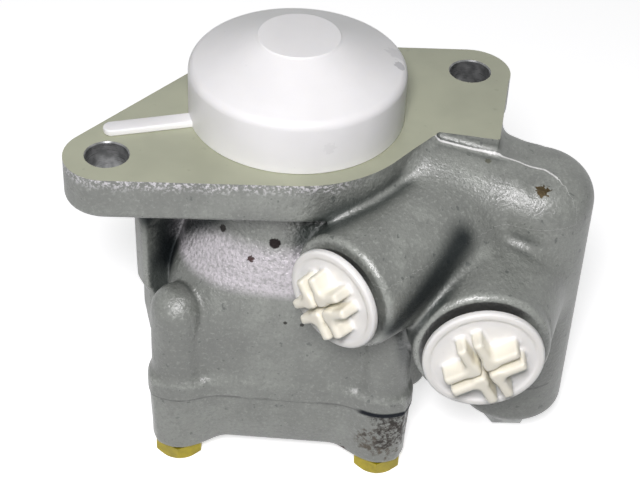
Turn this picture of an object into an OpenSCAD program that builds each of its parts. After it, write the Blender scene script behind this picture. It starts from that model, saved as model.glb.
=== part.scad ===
// Power steering pump: a vane pump in a cast housing, standing on its cover bolts with its drive end up.
// The mounting face of the flange lies at z = 0, and the shaft runs along the z axis.
// The valve tower stands beside the body. Its frame has x away from the shaft and y across the tower.

/* [Mounting flange] */
// Distance between the two mounting holes
hole_spacing = 125; // [118:1:136]
// Diameter of the mounting holes
hole_d = 13; // [10:0.5:14]
// Width of the chamfer round each mounting hole
hole_chamfer = 0.4; // [0.2:0.1:0.5]
// Thickness of the flange
flange_t = 14.5; // [12:0.5:17]
// Radius of the round middle of the flange
flange_r = 39.5; // [38:0.5:42]
// Radius of the rounded ends of the flange
lug_r = 13.3; // [12:0.1:14.5]
// How far the squared side of the flange reaches past the casting's parting plane
square_side = 1.3; // [0.5:0.1:3]
// Radius of the locating spigot
spigot_r = 31; // [29.5:0.5:32.5]
// Height of the locating spigot
spigot_h = 6.5; // [5:0.5:8]
// Distance from the shaft to the outer edge of the rib under the free lug
rib_reach = 49.8; // [48.5:0.1:52]
// Distance from the shaft to the rib's edge at the cover joint
rib_foot = 44.5; // [42:0.5:47]
// Thickness of that rib
rib_t = 9; // [7:0.5:11]
// Distance of the rib from the line of the holes
rib_side = 8; // [7:0.5:10]
// Depth of the step in the rib's edge
rib_depth = 65; // [58:1:70]

/* [Body] */
// Height of the housing from the flange face to the cover joint
body_h = 87.5; // [86:0.5:94]
// Radius of the neck under the flange
neck_r = 32; // [30:0.5:34]
// Depth of the neck's lower end
neck_depth = 29; // [26:0.5:32]
// Height of the sloping shoulder under the neck
shoulder_h = 13; // [10:0.5:15]
// Distance from the shaft to the flat sides of the body
body_r = 38.8; // [38.2:0.1:40]
// Turn of the cover bolts from the line of the holes, in degrees
bolt_turn = 16; // [12:1:20]
// Radius of the bolt columns
column_r = 9.8; // [9:0.1:11]
// How far the bolt columns stand out of the flat sides
column_stand = 4.5; // [3.5:0.1:6]
// Height of the straight part of the bolt columns
column_h = 31; // [28:0.5:35]
// Radius of the fillets between the columns and the body
column_fillet = 12; // [6:0.5:14]
// Height of the rim at the cover joint
rim_h = 7.5; // [5:0.5:10]
// How far the rim stands out
rim_out = 0.9; // [0.4:0.1:1.2]
// Distance from the shaft to the lobe of the rim on the tower's side
lobe_offset = 38; // [36:0.5:40]
// Radius of that lobe
lobe_r = 11; // [10:0.5:12]

/* [Valve tower] */
// Direction of the tower from the line of the holes, in degrees
tower_angle = -35; // [-38:1:-32]
// Distance from the shaft to the valve bore
valve_offset = 77.8; // [76:0.2:81]
// Radius of the tower
tower_r = 18; // [16.5:0.5:19]
// Depth of the tower's foot below the flange face
tower_depth = 104; // [101:0.5:107]
// Height of the tower's top above the flange face, where it would reach the shaft
tower_top = 5.2; // [4:0.2:6]
// Fall of the tower's top away from the shaft, in degrees
tower_slope = 9.5; // [8:0.5:11]
// Radius of the tower's rounded top
tower_round = 12; // [9:0.5:13]
// Radius of the rounded edge of the tower's foot
foot_round = 4; // [3:0.5:6]
// Half the thickness of the web between the body and the tower
web_half = 16.6; // [15:0.1:17]
// How far the back of the web spreads towards the flange, in degrees
web_spread = 14; // [10:1:18]
// Depth of the web's lower edge
web_depth = 76; // [74:0.5:80]

/* [Port bosses] */
// Distance of the upper boss face from the shaft, along the tower's direction
upper_along = 23.7; // [22:0.1:26]
// Reach of the upper boss face in front of the parting plane
upper_reach = 48.3; // [46:0.1:52]
// Depth of the upper boss below the flange face
upper_depth = 30.4; // [29:0.1:32]
// Turn of the upper boss from square to the parting plane, in degrees
upper_turn = -32; // [-34:1:-28]
// Radius of the upper boss at its face
upper_face_r = 18.8; // [17.8:0.1:19.5]
// Radius of the upper boss at its root
upper_root_r = 24; // [22:0.5:25]
// Radius of the upper port's threaded bore
upper_port_r = 10.2; // [9:0.1:11]
// Distance of the lower boss face from the shaft, along the tower's direction
lower_along = 67.5; // [66:0.1:69]
// Reach of the lower boss face in front of the parting plane
lower_reach = 45; // [43:0.1:48]
// Depth of the lower boss below the flange face
lower_depth = 48; // [46:0.1:51]
// Turn of the lower boss from square to the parting plane, in degrees
lower_turn = 11; // [8:1:14]
// Radius of the lower boss at its face
lower_face_r = 21.2; // [20.5:0.1:22]
// Radius of the lower boss at its root
lower_root_r = 24; // [22.5:0.5:24.5]
// Turn of the cast root behind the lower boss, in degrees
lower_lean = -2; // [-5:1:2]
// Radius of the lower port's threaded bore
lower_port_r = 12.2; // [11:0.1:13]
// Depth of the threaded bores
port_depth = 18; // [16:0.5:21]
// Radius of the rounded lip of the boss faces
lip_round = 2; // [1:0.1:2.5]
// Radius of the oil galleries behind the ports
gallery_r = 6; // [5:0.1:6.5]
// Radius of the gallery from the pressure chamber to the valve
pressure_gallery_r = 3; // [2.5:0.1:3.5]

/* [Rear cover] */
// Thickness of the cover
cover_t = 23.5; // [22:0.5:26]
// Height of the bevelled foot of the cover
cover_bevel_h = 8; // [5:0.5:10]
// Inset of that bevel
cover_bevel = 3; // [2:0.1:4]
// Depth of the pocket cast into the underside
cover_pocket = 4; // [2:0.5:5]
// Diameter of the cover bolts
bolt_d = 10; // [8:0.5:10]
// Width of the bolt heads across the flats
bolt_af = 15; // [14:0.5:16]
// Height of the bolt heads
bolt_head_h = 6.2; // [5:0.1:8]
// Depth of the bolts in the housing
bolt_grip = 22; // [18:0.5:26]
// Direction of a corner of each bolt head, in degrees
bolt_head_turn = -117; // [-147:1:-87]

/* [Shaft and bearing] */
// Bore of the ball bearing
bearing_bore = 20; // [19:0.1:20.5]
// Outer diameter of the ball bearing
bearing_od = 47; // [46.6:0.1:48]
// Width of the ball bearing
bearing_w = 14; // [13:0.5:15]
// Depth of the bearing below the flange face
bearing_depth = 5; // [4.5:0.1:6]
// Diameter of the bearing balls
ball_d = 7.94; // [7.5:0.01:8.1]
// Number of bearing balls
ball_count = 8; // [7:1:9]
// Width of the shaft seal
seal_w = 7; // [6:0.1:7.5]
// Height of the shaft end above the flange face
shaft_end = 22; // [20:0.5:23]
// Radius of the shaft collar under the bearing
collar_r = 12.6; // [12:0.1:13]
// Thickness of that collar
collar_t = 4; // [3:0.5:6]
// Radius of the plain middle of the shaft
shaft_r = 8.5; // [8.3:0.1:8.9]
// Radius over the teeth of the splines
spline_r = 9.6; // [9.3:0.1:9.8]
// Number of teeth on each spline
spline_count = 12; // [10:1:14]
// Width of a spline tooth
spline_tooth = 2.2; // [1.8:0.1:2.4]
// Radius of the shaft's rear journal
journal_r = 8; // [7.8:0.1:8.2]
// Length of the rear bush
bush_len = 13; // [11:0.5:14]
// Wall of the rear bush
bush_wall = 2; // [1.5:0.1:2.5]

/* [Pump cartridge] */
// Radius of the chamber that holds the cartridge
chamber_r = 31; // [30.5:0.1:32]
// Thickness of the rear plate
rear_plate_t = 5.5; // [5:0.1:7]
// Thickness of the cam ring
cam_t = 22; // [20:0.5:23]
// Thickness of the pressure plate
plate_t = 11.5; // [10.5:0.1:12.5]
// Height of the space for the disc spring
spring_gap = 2.4; // [2.2:0.1:3]
// Thickness of the disc spring
disc_t = 1.2; // [0.9:0.1:1.4]
// Smallest radius of the cam contour
cam_min_r = 22.35; // [22.3:0.05:22.8]
// Largest radius of the cam contour
cam_max_r = 25.4; // [24.6:0.1:25.8]
// Direction of the smallest radius, in degrees
cam_turn = 20; // [0:1:40]
// Radius of the rotor
rotor_r = 22; // [21.6:0.1:22.1]
// Thickness of a vane
vane_t = 1.8; // [1.5:0.1:2.2]
// Length of a vane
vane_len = 8.6; // [8:0.1:9]
// Radius of the dowel pins
pin_r = 2.2; // [1.8:0.1:2.4]
// Distance of the dowel pins from the shaft
pin_offset = 27.3; // [27:0.1:27.8]
// Width of the seal rings' cord
cord_d = 2.6; // [2.2:0.1:2.8]

/* [Flow control valve] */
// Radius of the valve spool
spool_r = 7.5; // [7:0.1:7.8]
// Length of the valve spool
spool_len = 33; // [31:0.5:35]
// Depth of the valve bore's blind end
valve_top = 26; // [25:0.5:27]
// Radius of the valve plug's thread
plug_r = 9; // [8.8:0.1:9.4]
// Length of the valve plug's thread
plug_len = 15; // [13:0.5:16]
// Length of the guide on the valve plug that seats the spring
plug_guide = 5; // [3:0.5:6]
// Radius of the valve plug's collar
plug_collar_r = 11.5; // [11:0.1:12]
// Thickness of the valve plug's collar
plug_collar_t = 3; // [2:0.1:3.5]
// Width of the valve plug's hexagon across the flats
plug_af = 17; // [16:0.5:19]
// Height of the valve plug's hexagon
plug_hex_h = 4; // [3:0.1:5]
// Direction of a corner of that hexagon, in degrees
plug_hex_turn = -85; // [-115:1:-55]
// Thickness of the sealing ring under the valve plug
plug_seal_t = 1.5; // [1:0.1:2]
// Diameter of the valve spring's wire
wire_d = 1.4; // [1.1:0.1:1.6]
// Radius of the valve spring's coil
coil_r = 5; // [4.5:0.1:5.4]
// Number of working turns of the valve spring
coil_turns = 5; // [4:1:6]

/* [Cap and port plugs] */
// Wall of the protective cap
cap_wall = 2.45; // [2:0.05:3]
// Height of the cap's straight side
cap_side = 18.6; // [17:0.1:20]
// Height of the cap
cap_h = 27.6; // [27:0.1:29]
// Radius of the flat disc on the cap's top
cap_disc_r = 12.9; // [11:0.1:15]
// Step of that disc
cap_disc_step = 0.5; // [0.3:0.1:1]
// Direction of the cap's pull tab, in degrees
tab_angle = 169.5; // [165:0.5:171]
// Distance from the shaft to the tab's end
tab_reach = 60.7; // [56:0.1:62]
// Width of the pull tab
tab_w = 5.4; // [4.5:0.1:6]
// Thickness of the pull tab
tab_t = 2.2; // [1.6:0.1:2.6]
// Radius of the upper plug's disc
upper_disc_r = 16.4; // [15.5:0.1:17.2]
// Radius of the lower plug's disc
lower_disc_r = 18.7; // [18:0.1:19.6]
// Thickness of the plug discs
disc_h = 2.6; // [2.3:0.1:3.4]
// Radius of the rounded edge of the plug discs
disc_edge = 0.9; // [0.5:0.1:1.1]
// Gap between the upper plug's disc and its boss
upper_stand_off = 2.3; // [0.5:0.1:3]
// Gap between the lower plug's disc and its boss
lower_stand_off = 2.4; // [0.5:0.1:4]
// Length of the plug shanks in the ports
shank_len = 13; // [11:0.5:14.5]
// Wall of the plug shanks
shank_wall = 2; // [1.5:0.1:2.5]
// Height of the grip ribs
grip_h = 6.4; // [4:0.1:8]
// Thickness of the grip ribs
grip_t = 2.8; // [2:0.1:3]
// Width of the slots between the grip ribs
grip_slot = 2; // [1.6:0.1:3]
// Reach of the upper plug's grip ribs
upper_grip_reach = 10.4; // [8.5:0.1:11]
// Reach of the lower plug's grip ribs
lower_grip_reach = 12.4; // [11:0.1:14]
// Turn of the upper plug's grip, in degrees
upper_grip_turn = 37; // [-45:1:45]
// Turn of the lower plug's grip, in degrees
lower_grip_turn = 30; // [-45:1:45]

/* [Clearances] */
// Radial clearance of a running fit
run_gap = 0.04; // [0.02:0.01:0.08]
// Radial clearance of a seated piece
seat_gap = 0.02; // [0.01:0.01:0.05]
// Side clearance of what slides between flat faces
side_gap = 0.05; // [0.03:0.01:0.1]
// Clearance between the cap and the spigot
cap_gap = 0.35; // [0.3:0.05:0.6]
// Clearance of the bolts in the cover
bolt_gap = 0.3; // [0.2:0.05:0.5]
// Clearance of the plug shanks in the ports
shank_gap = 0.3; // [0.3:0.05:0.5]

/* [Hidden] */
$fn = 64;

// Steps along a rounded edge, a long arc and the cam contour
edge_steps = 8;
arc_steps = 16;
cam_steps = 72;
// Overlap of joined solids and overrun of cuts
over = 1;
// Small offset that keeps two faces from touching along a line
offset_gap = 0.2;

// Depths of the stack, from the cover joint up to the roof of the chamber
z_joint = -body_h;
z_foot = z_joint - cover_t;
z_cam_low = z_joint + rear_plate_t;
z_cam_high = z_cam_low + cam_t;
z_plate_high = z_cam_high + plate_t;
z_roof = z_plate_high + spring_gap;

// Bearing and its rings
bearing_r = bearing_od / 2;
bearing_z = -bearing_depth;
bearing_low = bearing_z - bearing_w;
seat_r = bearing_bore / 2;
ball_r = ball_d / 2;
pitch_r = (bearing_r + seat_r) / 2;
ball_z = bearing_z - bearing_w / 2;
race_shoulder = 2.5;
circlip_t = 1.6;
circlip_bite = 1.1;
circlip_w = 3;
shaft_clip_t = 1.2;
shaft_clip_bite = 0.6;
shaft_clip_w = 2.6;
seal_high = spigot_h - 1;
passage_r = collar_r + 1.4;

// Shaft levels
collar_low = bearing_low - collar_t;
rotor_low = z_cam_low + side_gap;
rotor_high = z_cam_high - side_gap;
clip_low = rotor_low - shaft_clip_t - side_gap;
bush_high = z_joint - 2;
bush_low = bush_high - bush_len;
shaft_low = bush_low - over;
shaft_chamfer = 1;
land_high = spigot_h + over;
spline_root_r = shaft_r - 0.5;
spline_runout = 2;

// Cover outline and bolts
bolt_circle_r = (body_r + column_stand - column_r) / cos(45);
bolt_r = bolt_d / 2;
head_r = bolt_af / 2 / cos(30);
washer_face = 0.5;
washer_r = bolt_af * 0.48;
crown_r = bolt_af * 0.473;
thread_spare = 3;
cover_wall = 5;
seal_ring_r = (chamber_r + body_r) / 2 - offset_gap;
groove_depth = cord_d * 0.78;
groove_half = cord_d * 0.55;

// Cartridge
kidney_in = rotor_r * 0.818;
kidney_out = cam_max_r * 0.925;
suction_span = 60;
pressure_span = 44;
disc_inner_r = collar_r * 1.24;
disc_outer_r = chamber_r * 0.858;
cam_fit = side_gap * 6;
pin_depth = 6;
pin_high = z_cam_high + plate_t / 2 - cord_d;

// Vanes
vane_count = 10;
vane_step = 360 / vane_count;
vane_out = rotor_r - 0.1;
vane_in = vane_out - vane_len;
under_vane_r = vane_t / 2 + 0.7;

// Valve levels
spool_high = -valve_top - side_gap;
spool_low = spool_high - spool_len;
plug_high = -tower_depth + plug_len;
guide_high = plug_high + plug_guide;
spring_len = spool_low - guide_high - 2 * side_gap;
coil_pitch_closed = wire_d * 1.03;
spool_nose = 3;
spool_nose_r = 3;
spool_land = 9;
spool_groove = 8;
spool_groove_r = 5.4;

// Tower
suction_depth = z_cam_low + cam_t * 0.7;
pocket_offset = 22;
pocket_r = 4;
pocket_h = 9;

// Cap
cap_r = spigot_r + cap_gap + cap_wall;
cap_edge = 3.5;

function polar(r, a) = [r * cos(a), r * sin(a)];
function arc(centre, r, from, to, steps) =
  [for (i = [0:steps]) centre + polar(r, from + (to - from) * i / steps)];
function tower_top_at(x) = tower_top - x * tan(tower_slope);
function cam_r(a) = cam_min_r + (cam_max_r - cam_min_r) * pow(sin(a - cam_turn), 2);
function turned(points, a) = [for (p = points) [p.x * cos(a) - p.y * sin(a), p.x * sin(a) + p.y * cos(a)]];
function bolt_places() = [for (i = [0:3]) polar(bolt_circle_r, bolt_turn + 90 * i)];

module in_tower_frame() {
  rotate([0, 0, tower_angle]) children();
}

// Puts children on a boss face, with their z axis pointing out of the port
module at_port(along, reach, depth, turn) {
  in_tower_frame() translate([along, -reach, -depth]) rotate([0, 0, turn]) rotate([90, 0, 0]) children();
}

module at_upper_port() {
  at_port(upper_along, upper_reach, upper_depth, upper_turn) children();
}

module at_lower_port() {
  at_port(lower_along, lower_reach, lower_depth, lower_turn) children();
}

module ring(outer, inner, low, high) {
  rotate_extrude() translate([inner, low]) square([outer - inner, high - low]);
}

// Two round ends joined by tangents to a round middle
module flange_outline() {
  turn = acos((flange_r - lug_r) / (hole_spacing / 2));
  right = [hole_spacing / 2, 0];
  polygon(concat(
    arc(right, lug_r, -turn, turn, arc_steps),
    arc([0, 0], flange_r, turn, 180 - turn, arc_steps),
    arc(-right, lug_r, 180 - turn, 180 + turn, arc_steps),
    arc([0, 0], flange_r, 180 + turn, 360 - turn, arc_steps)
  ));
}

// The flange's squared side ends on the parting plane, in line with the lug above the tower
module flange_square() {
  lug_along = hole_spacing / 2 * cos(tower_angle);
  lug_across = -hole_spacing / 2 * sin(tower_angle);
  rotate(tower_angle) translate([0, -square_side])
    square([lug_along + lug_r - offset_gap * 2, lug_across + square_side]);
}

module flange_plate() {
  translate([0, 0, -flange_t]) linear_extrude(flange_t) {
    flange_outline();
    flange_square();
  }
}

// Four flat sides, each ending at a bolt column
module body_outline(flat) {
  half = bolt_circle_r * cos(45);
  side = [[flat, -half], [flat, half]];
  rotate(bolt_turn + 45) polygon([for (i = [0:3]) each turned(side, 90 * i)]);
}

// Neck, sloping shoulder and flat-sided body; the corners of the body fall away towards the columns
module body_core() {
  shoulder_low = -neck_depth - shoulder_h;
  corner_r = bolt_circle_r + column_r;
  intersection() {
    translate([0, 0, z_joint]) linear_extrude(body_h - flange_t + over) body_outline(body_r);
    rotate_extrude() polygon([
      [0, -flange_t + over], [neck_r, -flange_t + over],
      [neck_r, -neck_depth + over], [neck_r + over / 2, -neck_depth],
      [body_r - over, shoulder_low], [corner_r, shoulder_low - shoulder_h],
      [corner_r, z_joint - over], [0, z_joint - over]
    ]);
  }
}

// One corner of the joint outline: a fillet, the round of a bolt column, and a fillet
function joint_corner(flat, r) =
  let (
    c = bolt_circle_r * cos(45),
    away = flat + column_fillet - c,
    along = sqrt(pow(r + column_fillet, 2) - away * away),
    meet = atan2(along, -away)
  )
  concat(
    arc([c + away, c - along], column_fillet, 180, meet, edge_steps),
    arc([c, c], r, meet - 180, 270 - meet, arc_steps),
    arc([c - along, c + away], column_fillet, 90 - meet, -90, edge_steps)
  );

// Outline of the cover joint: four flat sides that run out into the bolt columns
module joint_outline(grow) {
  corner = joint_corner(body_r + grow, column_r + grow);
  rotate(bolt_turn - 45) polygon([for (i = [0:3]) each turned(corner, 90 * i)]);
}

module bolt_columns() {
  dome_r = column_r - offset_gap;
  high = z_joint + column_h;
  translate([0, 0, z_joint]) linear_extrude(column_h) joint_outline(-offset_gap / 2);
  for (place = bolt_places()) translate([place.x, place.y, high]) rotate_extrude()
    polygon(concat([[0, -over], [dome_r, -over]], arc([0, 0], dome_r, 0, 90, edge_steps)));
}

// Lobe of the joint on the tower's side
module joint_lobe(low, high, grow) {
  in_tower_frame() translate([lobe_offset, 0, low]) cylinder(h = high - low, r = lobe_r + grow);
}

module joint_rim() {
  translate([0, 0, z_joint]) linear_extrude(rim_h) joint_outline(rim_out);
  joint_lobe(z_joint, z_joint + rim_h, rim_out);
  joint_lobe(z_joint, z_joint + body_h / 2, 0);
}

// Rib between the free lug and the body, with a stepped outer edge
module lug_rib() {
  step = 2;
  translate([0, rib_side + rib_t, 0]) rotate([90, 0, 0]) linear_extrude(rib_t) polygon([
    [-neck_r / 2, -flange_t + over],
    [-rib_reach, -flange_t + over],
    [-rib_reach + step / 2, -rib_depth + step],
    [-rib_reach + step + over, -rib_depth - step],
    [-rib_reach + step + over, -rib_depth - 5 * step],
    [-rib_foot, z_joint],
    [-neck_r / 2, z_joint]
  ]);
}

// Web from the body to the tower: a sloping top with rounded edges, milled off at the flange face
module tower_web() {
  back_x = valve_offset + web_half * sin(web_spread) - over;
  back_y = web_half * cos(web_spread);
  back = back_y + back_x * tan(web_spread);
  intersection() {
    translate([0, 0, -web_depth]) linear_extrude(web_depth) polygon([
      [0, -web_half], [valve_offset, -web_half], [back_x, back_y], [0, back]
    ]);
    translate([0, 0, tower_top]) rotate([0, tower_slope, 0]) rotate([90, 0, 90])
      translate([0, 0, -tower_r]) linear_extrude(2 * valve_offset) polygon(concat(
        [[-web_half - offset_gap, -2 * tower_depth], [back, -2 * tower_depth], [back, -tower_r]],
        arc([tower_r - tower_round, -tower_round], tower_round, 45, 90, edge_steps),
        arc([tower_round - web_half - offset_gap, -tower_round], tower_round, 90, 180, edge_steps)
      ));
  }
}

// Round tower for the valve, domed at the top and rounded at the foot
module valve_tower() {
  high = tower_top_at(valve_offset);
  in_tower_frame() {
    tower_web();
    translate([valve_offset, 0, 0]) rotate_extrude() polygon(concat(
      [[0, high], [0, -tower_depth]],
      arc([tower_r - foot_round, -tower_depth + foot_round], foot_round, -90, 0, edge_steps),
      arc([tower_r - tower_round, high - tower_round], tower_round, 0, 90, edge_steps)
    ));
  }
}

// Tapered boss with a rounded lip, ending inside the tower's web
module port_boss(face_r, root_r, len) {
  rotate_extrude() polygon(concat(
    [[0, -len], [root_r, -len]],
    arc([face_r - lip_round, -lip_round], lip_round, 0, 90, edge_steps),
    [[0, 0]]
  ));
}

// Cast root of the lower boss, which leans from its face towards the tower
module lower_boss_root() {
  setback = 9;
  at_port(lower_along, lower_reach, lower_depth, lower_lean) translate([0, 0, -setback])
    port_boss(lower_face_r - lip_round / 2, lower_root_r, lower_reach - setback);
}

// Threaded bore with a drill point and an oil gallery behind it
module port_bore(bore_r, gallery, len) {
  rotate_extrude() polygon([
    [0, over], [bore_r, over], [bore_r, -port_depth],
    [gallery, -port_depth - bore_r + gallery], [gallery, -len], [0, -len]
  ]);
}

// Bore of the shaft: seal, bearing with its ring groove, passage and cartridge chamber
module shaft_bore() {
  r = bearing_r + seat_gap;
  groove_low = bearing_z - side_gap;
  groove_high = bearing_z + circlip_t + side_gap;
  rotate_extrude() polygon([
    [0, spigot_h + over], [r + over, spigot_h + over], [r + over, spigot_h], [r, seal_high],
    [r, groove_high], [r + circlip_bite, groove_high], [r + circlip_bite, groove_low], [r, groove_low],
    [r, bearing_low], [bearing_r - race_shoulder, bearing_low], [passage_r, bearing_low - 2 * over],
    [passage_r, z_roof], [chamber_r, z_roof], [chamber_r, z_joint - over], [0, z_joint - over]
  ]);
}

// Bore of the valve spool and thread of the valve plug, open at the tower's foot
module valve_bore() {
  in_tower_frame() translate([valve_offset, 0, 0]) rotate_extrude() polygon([
    [0, -valve_top], [spool_r + run_gap, -valve_top], [spool_r + run_gap, plug_high + over],
    [plug_r + seat_gap, plug_high + side_gap], [plug_r + seat_gap, -tower_depth - over],
    [0, -tower_depth - over]
  ]);
}

module mounting_holes() {
  r = hole_d / 2;
  for (side = [-1, 1]) translate([side * hole_spacing / 2, 0, 0]) rotate_extrude() polygon([
    [0, over], [r + hole_chamfer + over, over], [r, -hole_chamfer],
    [r, -flange_t - over], [0, -flange_t - over]
  ]);
}

// Cored galleries from the chamber to the valve and to the two ports
module galleries() {
  side = -9;
  suction_r = gallery_r - offset_gap;
  link_x = lower_along - lower_reach * tan(lower_turn) + 2 * over;
  upper_x = upper_along - upper_reach * tan(upper_turn);
  in_tower_frame() {
    translate([pocket_offset, 0, z_roof - over]) cylinder(h = pocket_h + over, r = pocket_r);
    translate([pocket_offset, 0, z_roof + pocket_h / 2]) rotate([0, 90, 0])
      cylinder(h = valve_offset - pocket_offset, r = pressure_gallery_r);
    translate([upper_x, 0, -upper_depth]) rotate([0, 90, 0])
      cylinder(h = valve_offset - upper_x, r = gallery_r - over);
    translate([link_x, side, suction_depth]) cylinder(h = -suction_depth - lower_depth, r = suction_r);
    translate([0, side, suction_depth]) rotate([0, 90, 0]) cylinder(h = link_x, r = suction_r);
  }
}

module bolt_threads() {
  for (place = bolt_places()) translate([place.x, place.y, z_joint - over])
    cylinder(h = bolt_grip + thread_spare + over, r = bolt_r + seat_gap);
}

module housing() {
  upper_len = upper_reach / cos(upper_turn);
  lower_len = lower_reach / cos(lower_turn);
  color([0.62, 0.63, 0.6]) difference() {
    union() {
      flange_plate();
      cylinder(h = spigot_h, r = spigot_r);
      body_core();
      bolt_columns();
      joint_rim();
      lug_rib();
      valve_tower();
      at_upper_port() port_boss(upper_face_r, upper_root_r, upper_len);
      at_lower_port() port_boss(lower_face_r, lower_root_r, lower_len);
      lower_boss_root();
    }
    mounting_holes();
    shaft_bore();
    valve_bore();
    at_upper_port() port_bore(upper_port_r, gallery_r, upper_len);
    at_lower_port() port_bore(lower_port_r, gallery_r, lower_len - gallery_r);
    galleries();
    bolt_threads();
  }
}

module dowel_places() {
  for (side = [0, 180]) rotate(cam_turn + side) translate([pin_offset, 0, 0]) children();
}

// Kidney-shaped port, half a turn apart from its pair
module kidneys(inner, outer, span, low, high) {
  width = outer - inner;
  mean = (inner + outer) / 2;
  for (side = [0, 180]) rotate([0, 0, cam_turn + 45 + side])
    translate([0, 0, low]) linear_extrude(high - low) polygon(concat(
      arc([0, 0], outer, -span / 2, span / 2, arc_steps / 2),
      arc(polar(mean, span / 2), width / 2, span / 2 + 30, span / 2 + 150, edge_steps),
      arc([0, 0], inner, span / 2, -span / 2, arc_steps / 2),
      arc(polar(mean, -span / 2), width / 2, -span / 2 + 210, -span / 2 + 330, edge_steps)
    ));
}

// Flat-sided middle of the cover, bevelled along its lower edges
module cover_core() {
  flat = body_r - offset_gap;
  difference() {
    translate([0, 0, z_foot]) linear_extrude(cover_t) joint_outline(-offset_gap);
    for (i = [0:3]) rotate([0, 0, bolt_turn + 45 + 90 * i])
      translate([0, bolt_circle_r, 0]) rotate([90, 0, 0]) linear_extrude(2 * bolt_circle_r) polygon([
        [flat - cover_bevel, z_foot - over], [flat + over, z_foot - over],
        [flat + over, z_foot + cover_bevel_h + over], [flat, z_foot + cover_bevel_h],
        [flat - cover_bevel, z_foot]
      ]);
  }
}

module rear_cover() {
  bush_bore = bush_high - bush_low + over;
  bush_seat_r = journal_r + bush_wall + seat_gap;
  pocket_r_out = body_r - cover_bevel - cover_wall;
  color([0.6, 0.61, 0.58]) difference() {
    union() {
      cover_core();
      joint_lobe(z_foot + cover_bevel_h, z_joint, 0);
      for (place = bolt_places()) translate([place.x, place.y, z_foot])
        cylinder(h = cover_t - over, r = column_r);
    }
    ring(seal_ring_r + groove_half, seal_ring_r - groove_half, z_joint - groove_depth, z_joint + over);
    translate([0, 0, bush_low - over]) cylinder(h = bush_bore + 3 * over, r = bush_seat_r);
    ring(pocket_r_out, bush_seat_r + cover_wall, z_foot - over, z_foot + cover_pocket);
    kidneys(kidney_in, kidney_out, suction_span, z_joint - pin_depth, z_joint + over);
    dowel_places() translate([0, 0, z_joint - pin_depth])
      cylinder(h = pin_depth + over, r = pin_r + seat_gap);
    for (place = bolt_places()) translate([place.x, place.y, z_foot - over])
      cylinder(h = cover_t + 2 * over, r = bolt_r + bolt_gap);
  }
}

module cover_bolts() {
  point_low = z_joint + bolt_grip - over;
  color([0.9, 0.78, 0.2]) for (place = bolt_places()) translate(place) {
    translate([0, 0, z_foot - over / 2]) cylinder(h = point_low - z_foot + over / 2, r = bolt_r);
    translate([0, 0, point_low]) cylinder(h = over, r1 = bolt_r, r2 = bolt_r - over);
    translate([0, 0, z_foot - washer_face]) cylinder(h = washer_face, r = washer_r);
    translate([0, 0, z_foot - bolt_head_h]) intersection() {
      rotate(bolt_head_turn) cylinder(h = bolt_head_h - washer_face, r = head_r, $fn = 6);
      cylinder(h = bolt_head_h, r1 = crown_r, r2 = bolt_af / 2 + bolt_head_h);
    }
  }
}

// Round cord pressed flat between the bottom of its groove and the joint face
module pressed_cord(r, low, high) {
  rotate_extrude() intersection() {
    translate([r, (low + high) / 2]) circle(d = cord_d);
    translate([r - cord_d, low]) square([2 * cord_d, high - low]);
  }
}

module cover_seal() {
  color([0.1, 0.1, 0.1]) pressed_cord(seal_ring_r, z_joint - groove_depth + seat_gap, z_joint - seat_gap);
}

// Straight-sided spline: a round root with evenly spaced teeth
module spline(root_r, grow) {
  circle(r = root_r + grow);
  for (i = [0:spline_count - 1]) rotate(360 / spline_count * i)
    translate([0, -spline_tooth / 2 - grow]) square([spline_r + grow, spline_tooth + 2 * grow]);
}

module drive_shaft() {
  clip_z = bearing_z + seat_gap;
  clip_r = seat_r - shaft_clip_bite;
  rotor_clip_r = journal_r - shaft_clip_bite;
  color([0.66, 0.67, 0.7]) {
    rotate_extrude() polygon([
      [0, shaft_end], [shaft_r - shaft_chamfer, shaft_end], [shaft_r, shaft_end - shaft_chamfer],
      [shaft_r, land_high], [seat_r - shaft_chamfer, land_high], [seat_r, land_high - shaft_chamfer],
      [seat_r, clip_z + shaft_clip_t + side_gap], [clip_r, clip_z + shaft_clip_t + side_gap],
      [clip_r, clip_z - seat_gap], [seat_r, clip_z - seat_gap],
      [seat_r, bearing_low], [collar_r, bearing_low], [collar_r, collar_low],
      [shaft_r, collar_low - 2 * over], [shaft_r, rotor_low],
      [rotor_clip_r, rotor_low], [rotor_clip_r, clip_low], [journal_r, clip_low],
      [journal_r, shaft_low + shaft_chamfer], [journal_r - shaft_chamfer, shaft_low], [0, shaft_low]
    ]);
    translate([0, 0, land_high + spline_runout])
      linear_extrude(shaft_end - land_high - spline_runout - 2 * shaft_chamfer) spline(spline_root_r, 0);
    translate([0, 0, rotor_low])
      linear_extrude(rotor_high - rotor_low + spline_runout) spline(spline_root_r, 0);
  }
}

module rotor() {
  color([0.5, 0.5, 0.52]) difference() {
    translate([0, 0, rotor_low]) cylinder(h = rotor_high - rotor_low, r = rotor_r);
    translate([0, 0, rotor_low - over]) linear_extrude(cam_t + 2 * over) spline(shaft_r, seat_gap);
    for (i = [0:vane_count - 1]) rotate([0, 0, vane_step * i]) {
      translate([vane_in - side_gap, -vane_t / 2 - side_gap, rotor_low - over])
        cube([rotor_r, vane_t + 2 * side_gap, cam_t + 2 * over]);
      translate([vane_in - side_gap, 0, rotor_low - over]) cylinder(h = cam_t + 2 * over, r = under_vane_r);
    }
  }
}

// One vane, pushed fully into its slot, with a rounded tip on the cam's side
module vane(index) {
  tip = vane_t * 0.75;
  lean = asin(vane_t / 2 / tip);
  color([0.72, 0.73, 0.75]) rotate([0, 0, vane_step * index]) translate([0, 0, rotor_low])
    linear_extrude(rotor_high - rotor_low) polygon(concat(
      [[vane_in, vane_t / 2], [vane_in, -vane_t / 2]],
      arc([vane_out - tip, 0], tip, -lean, lean, edge_steps)
    ));
}

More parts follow.
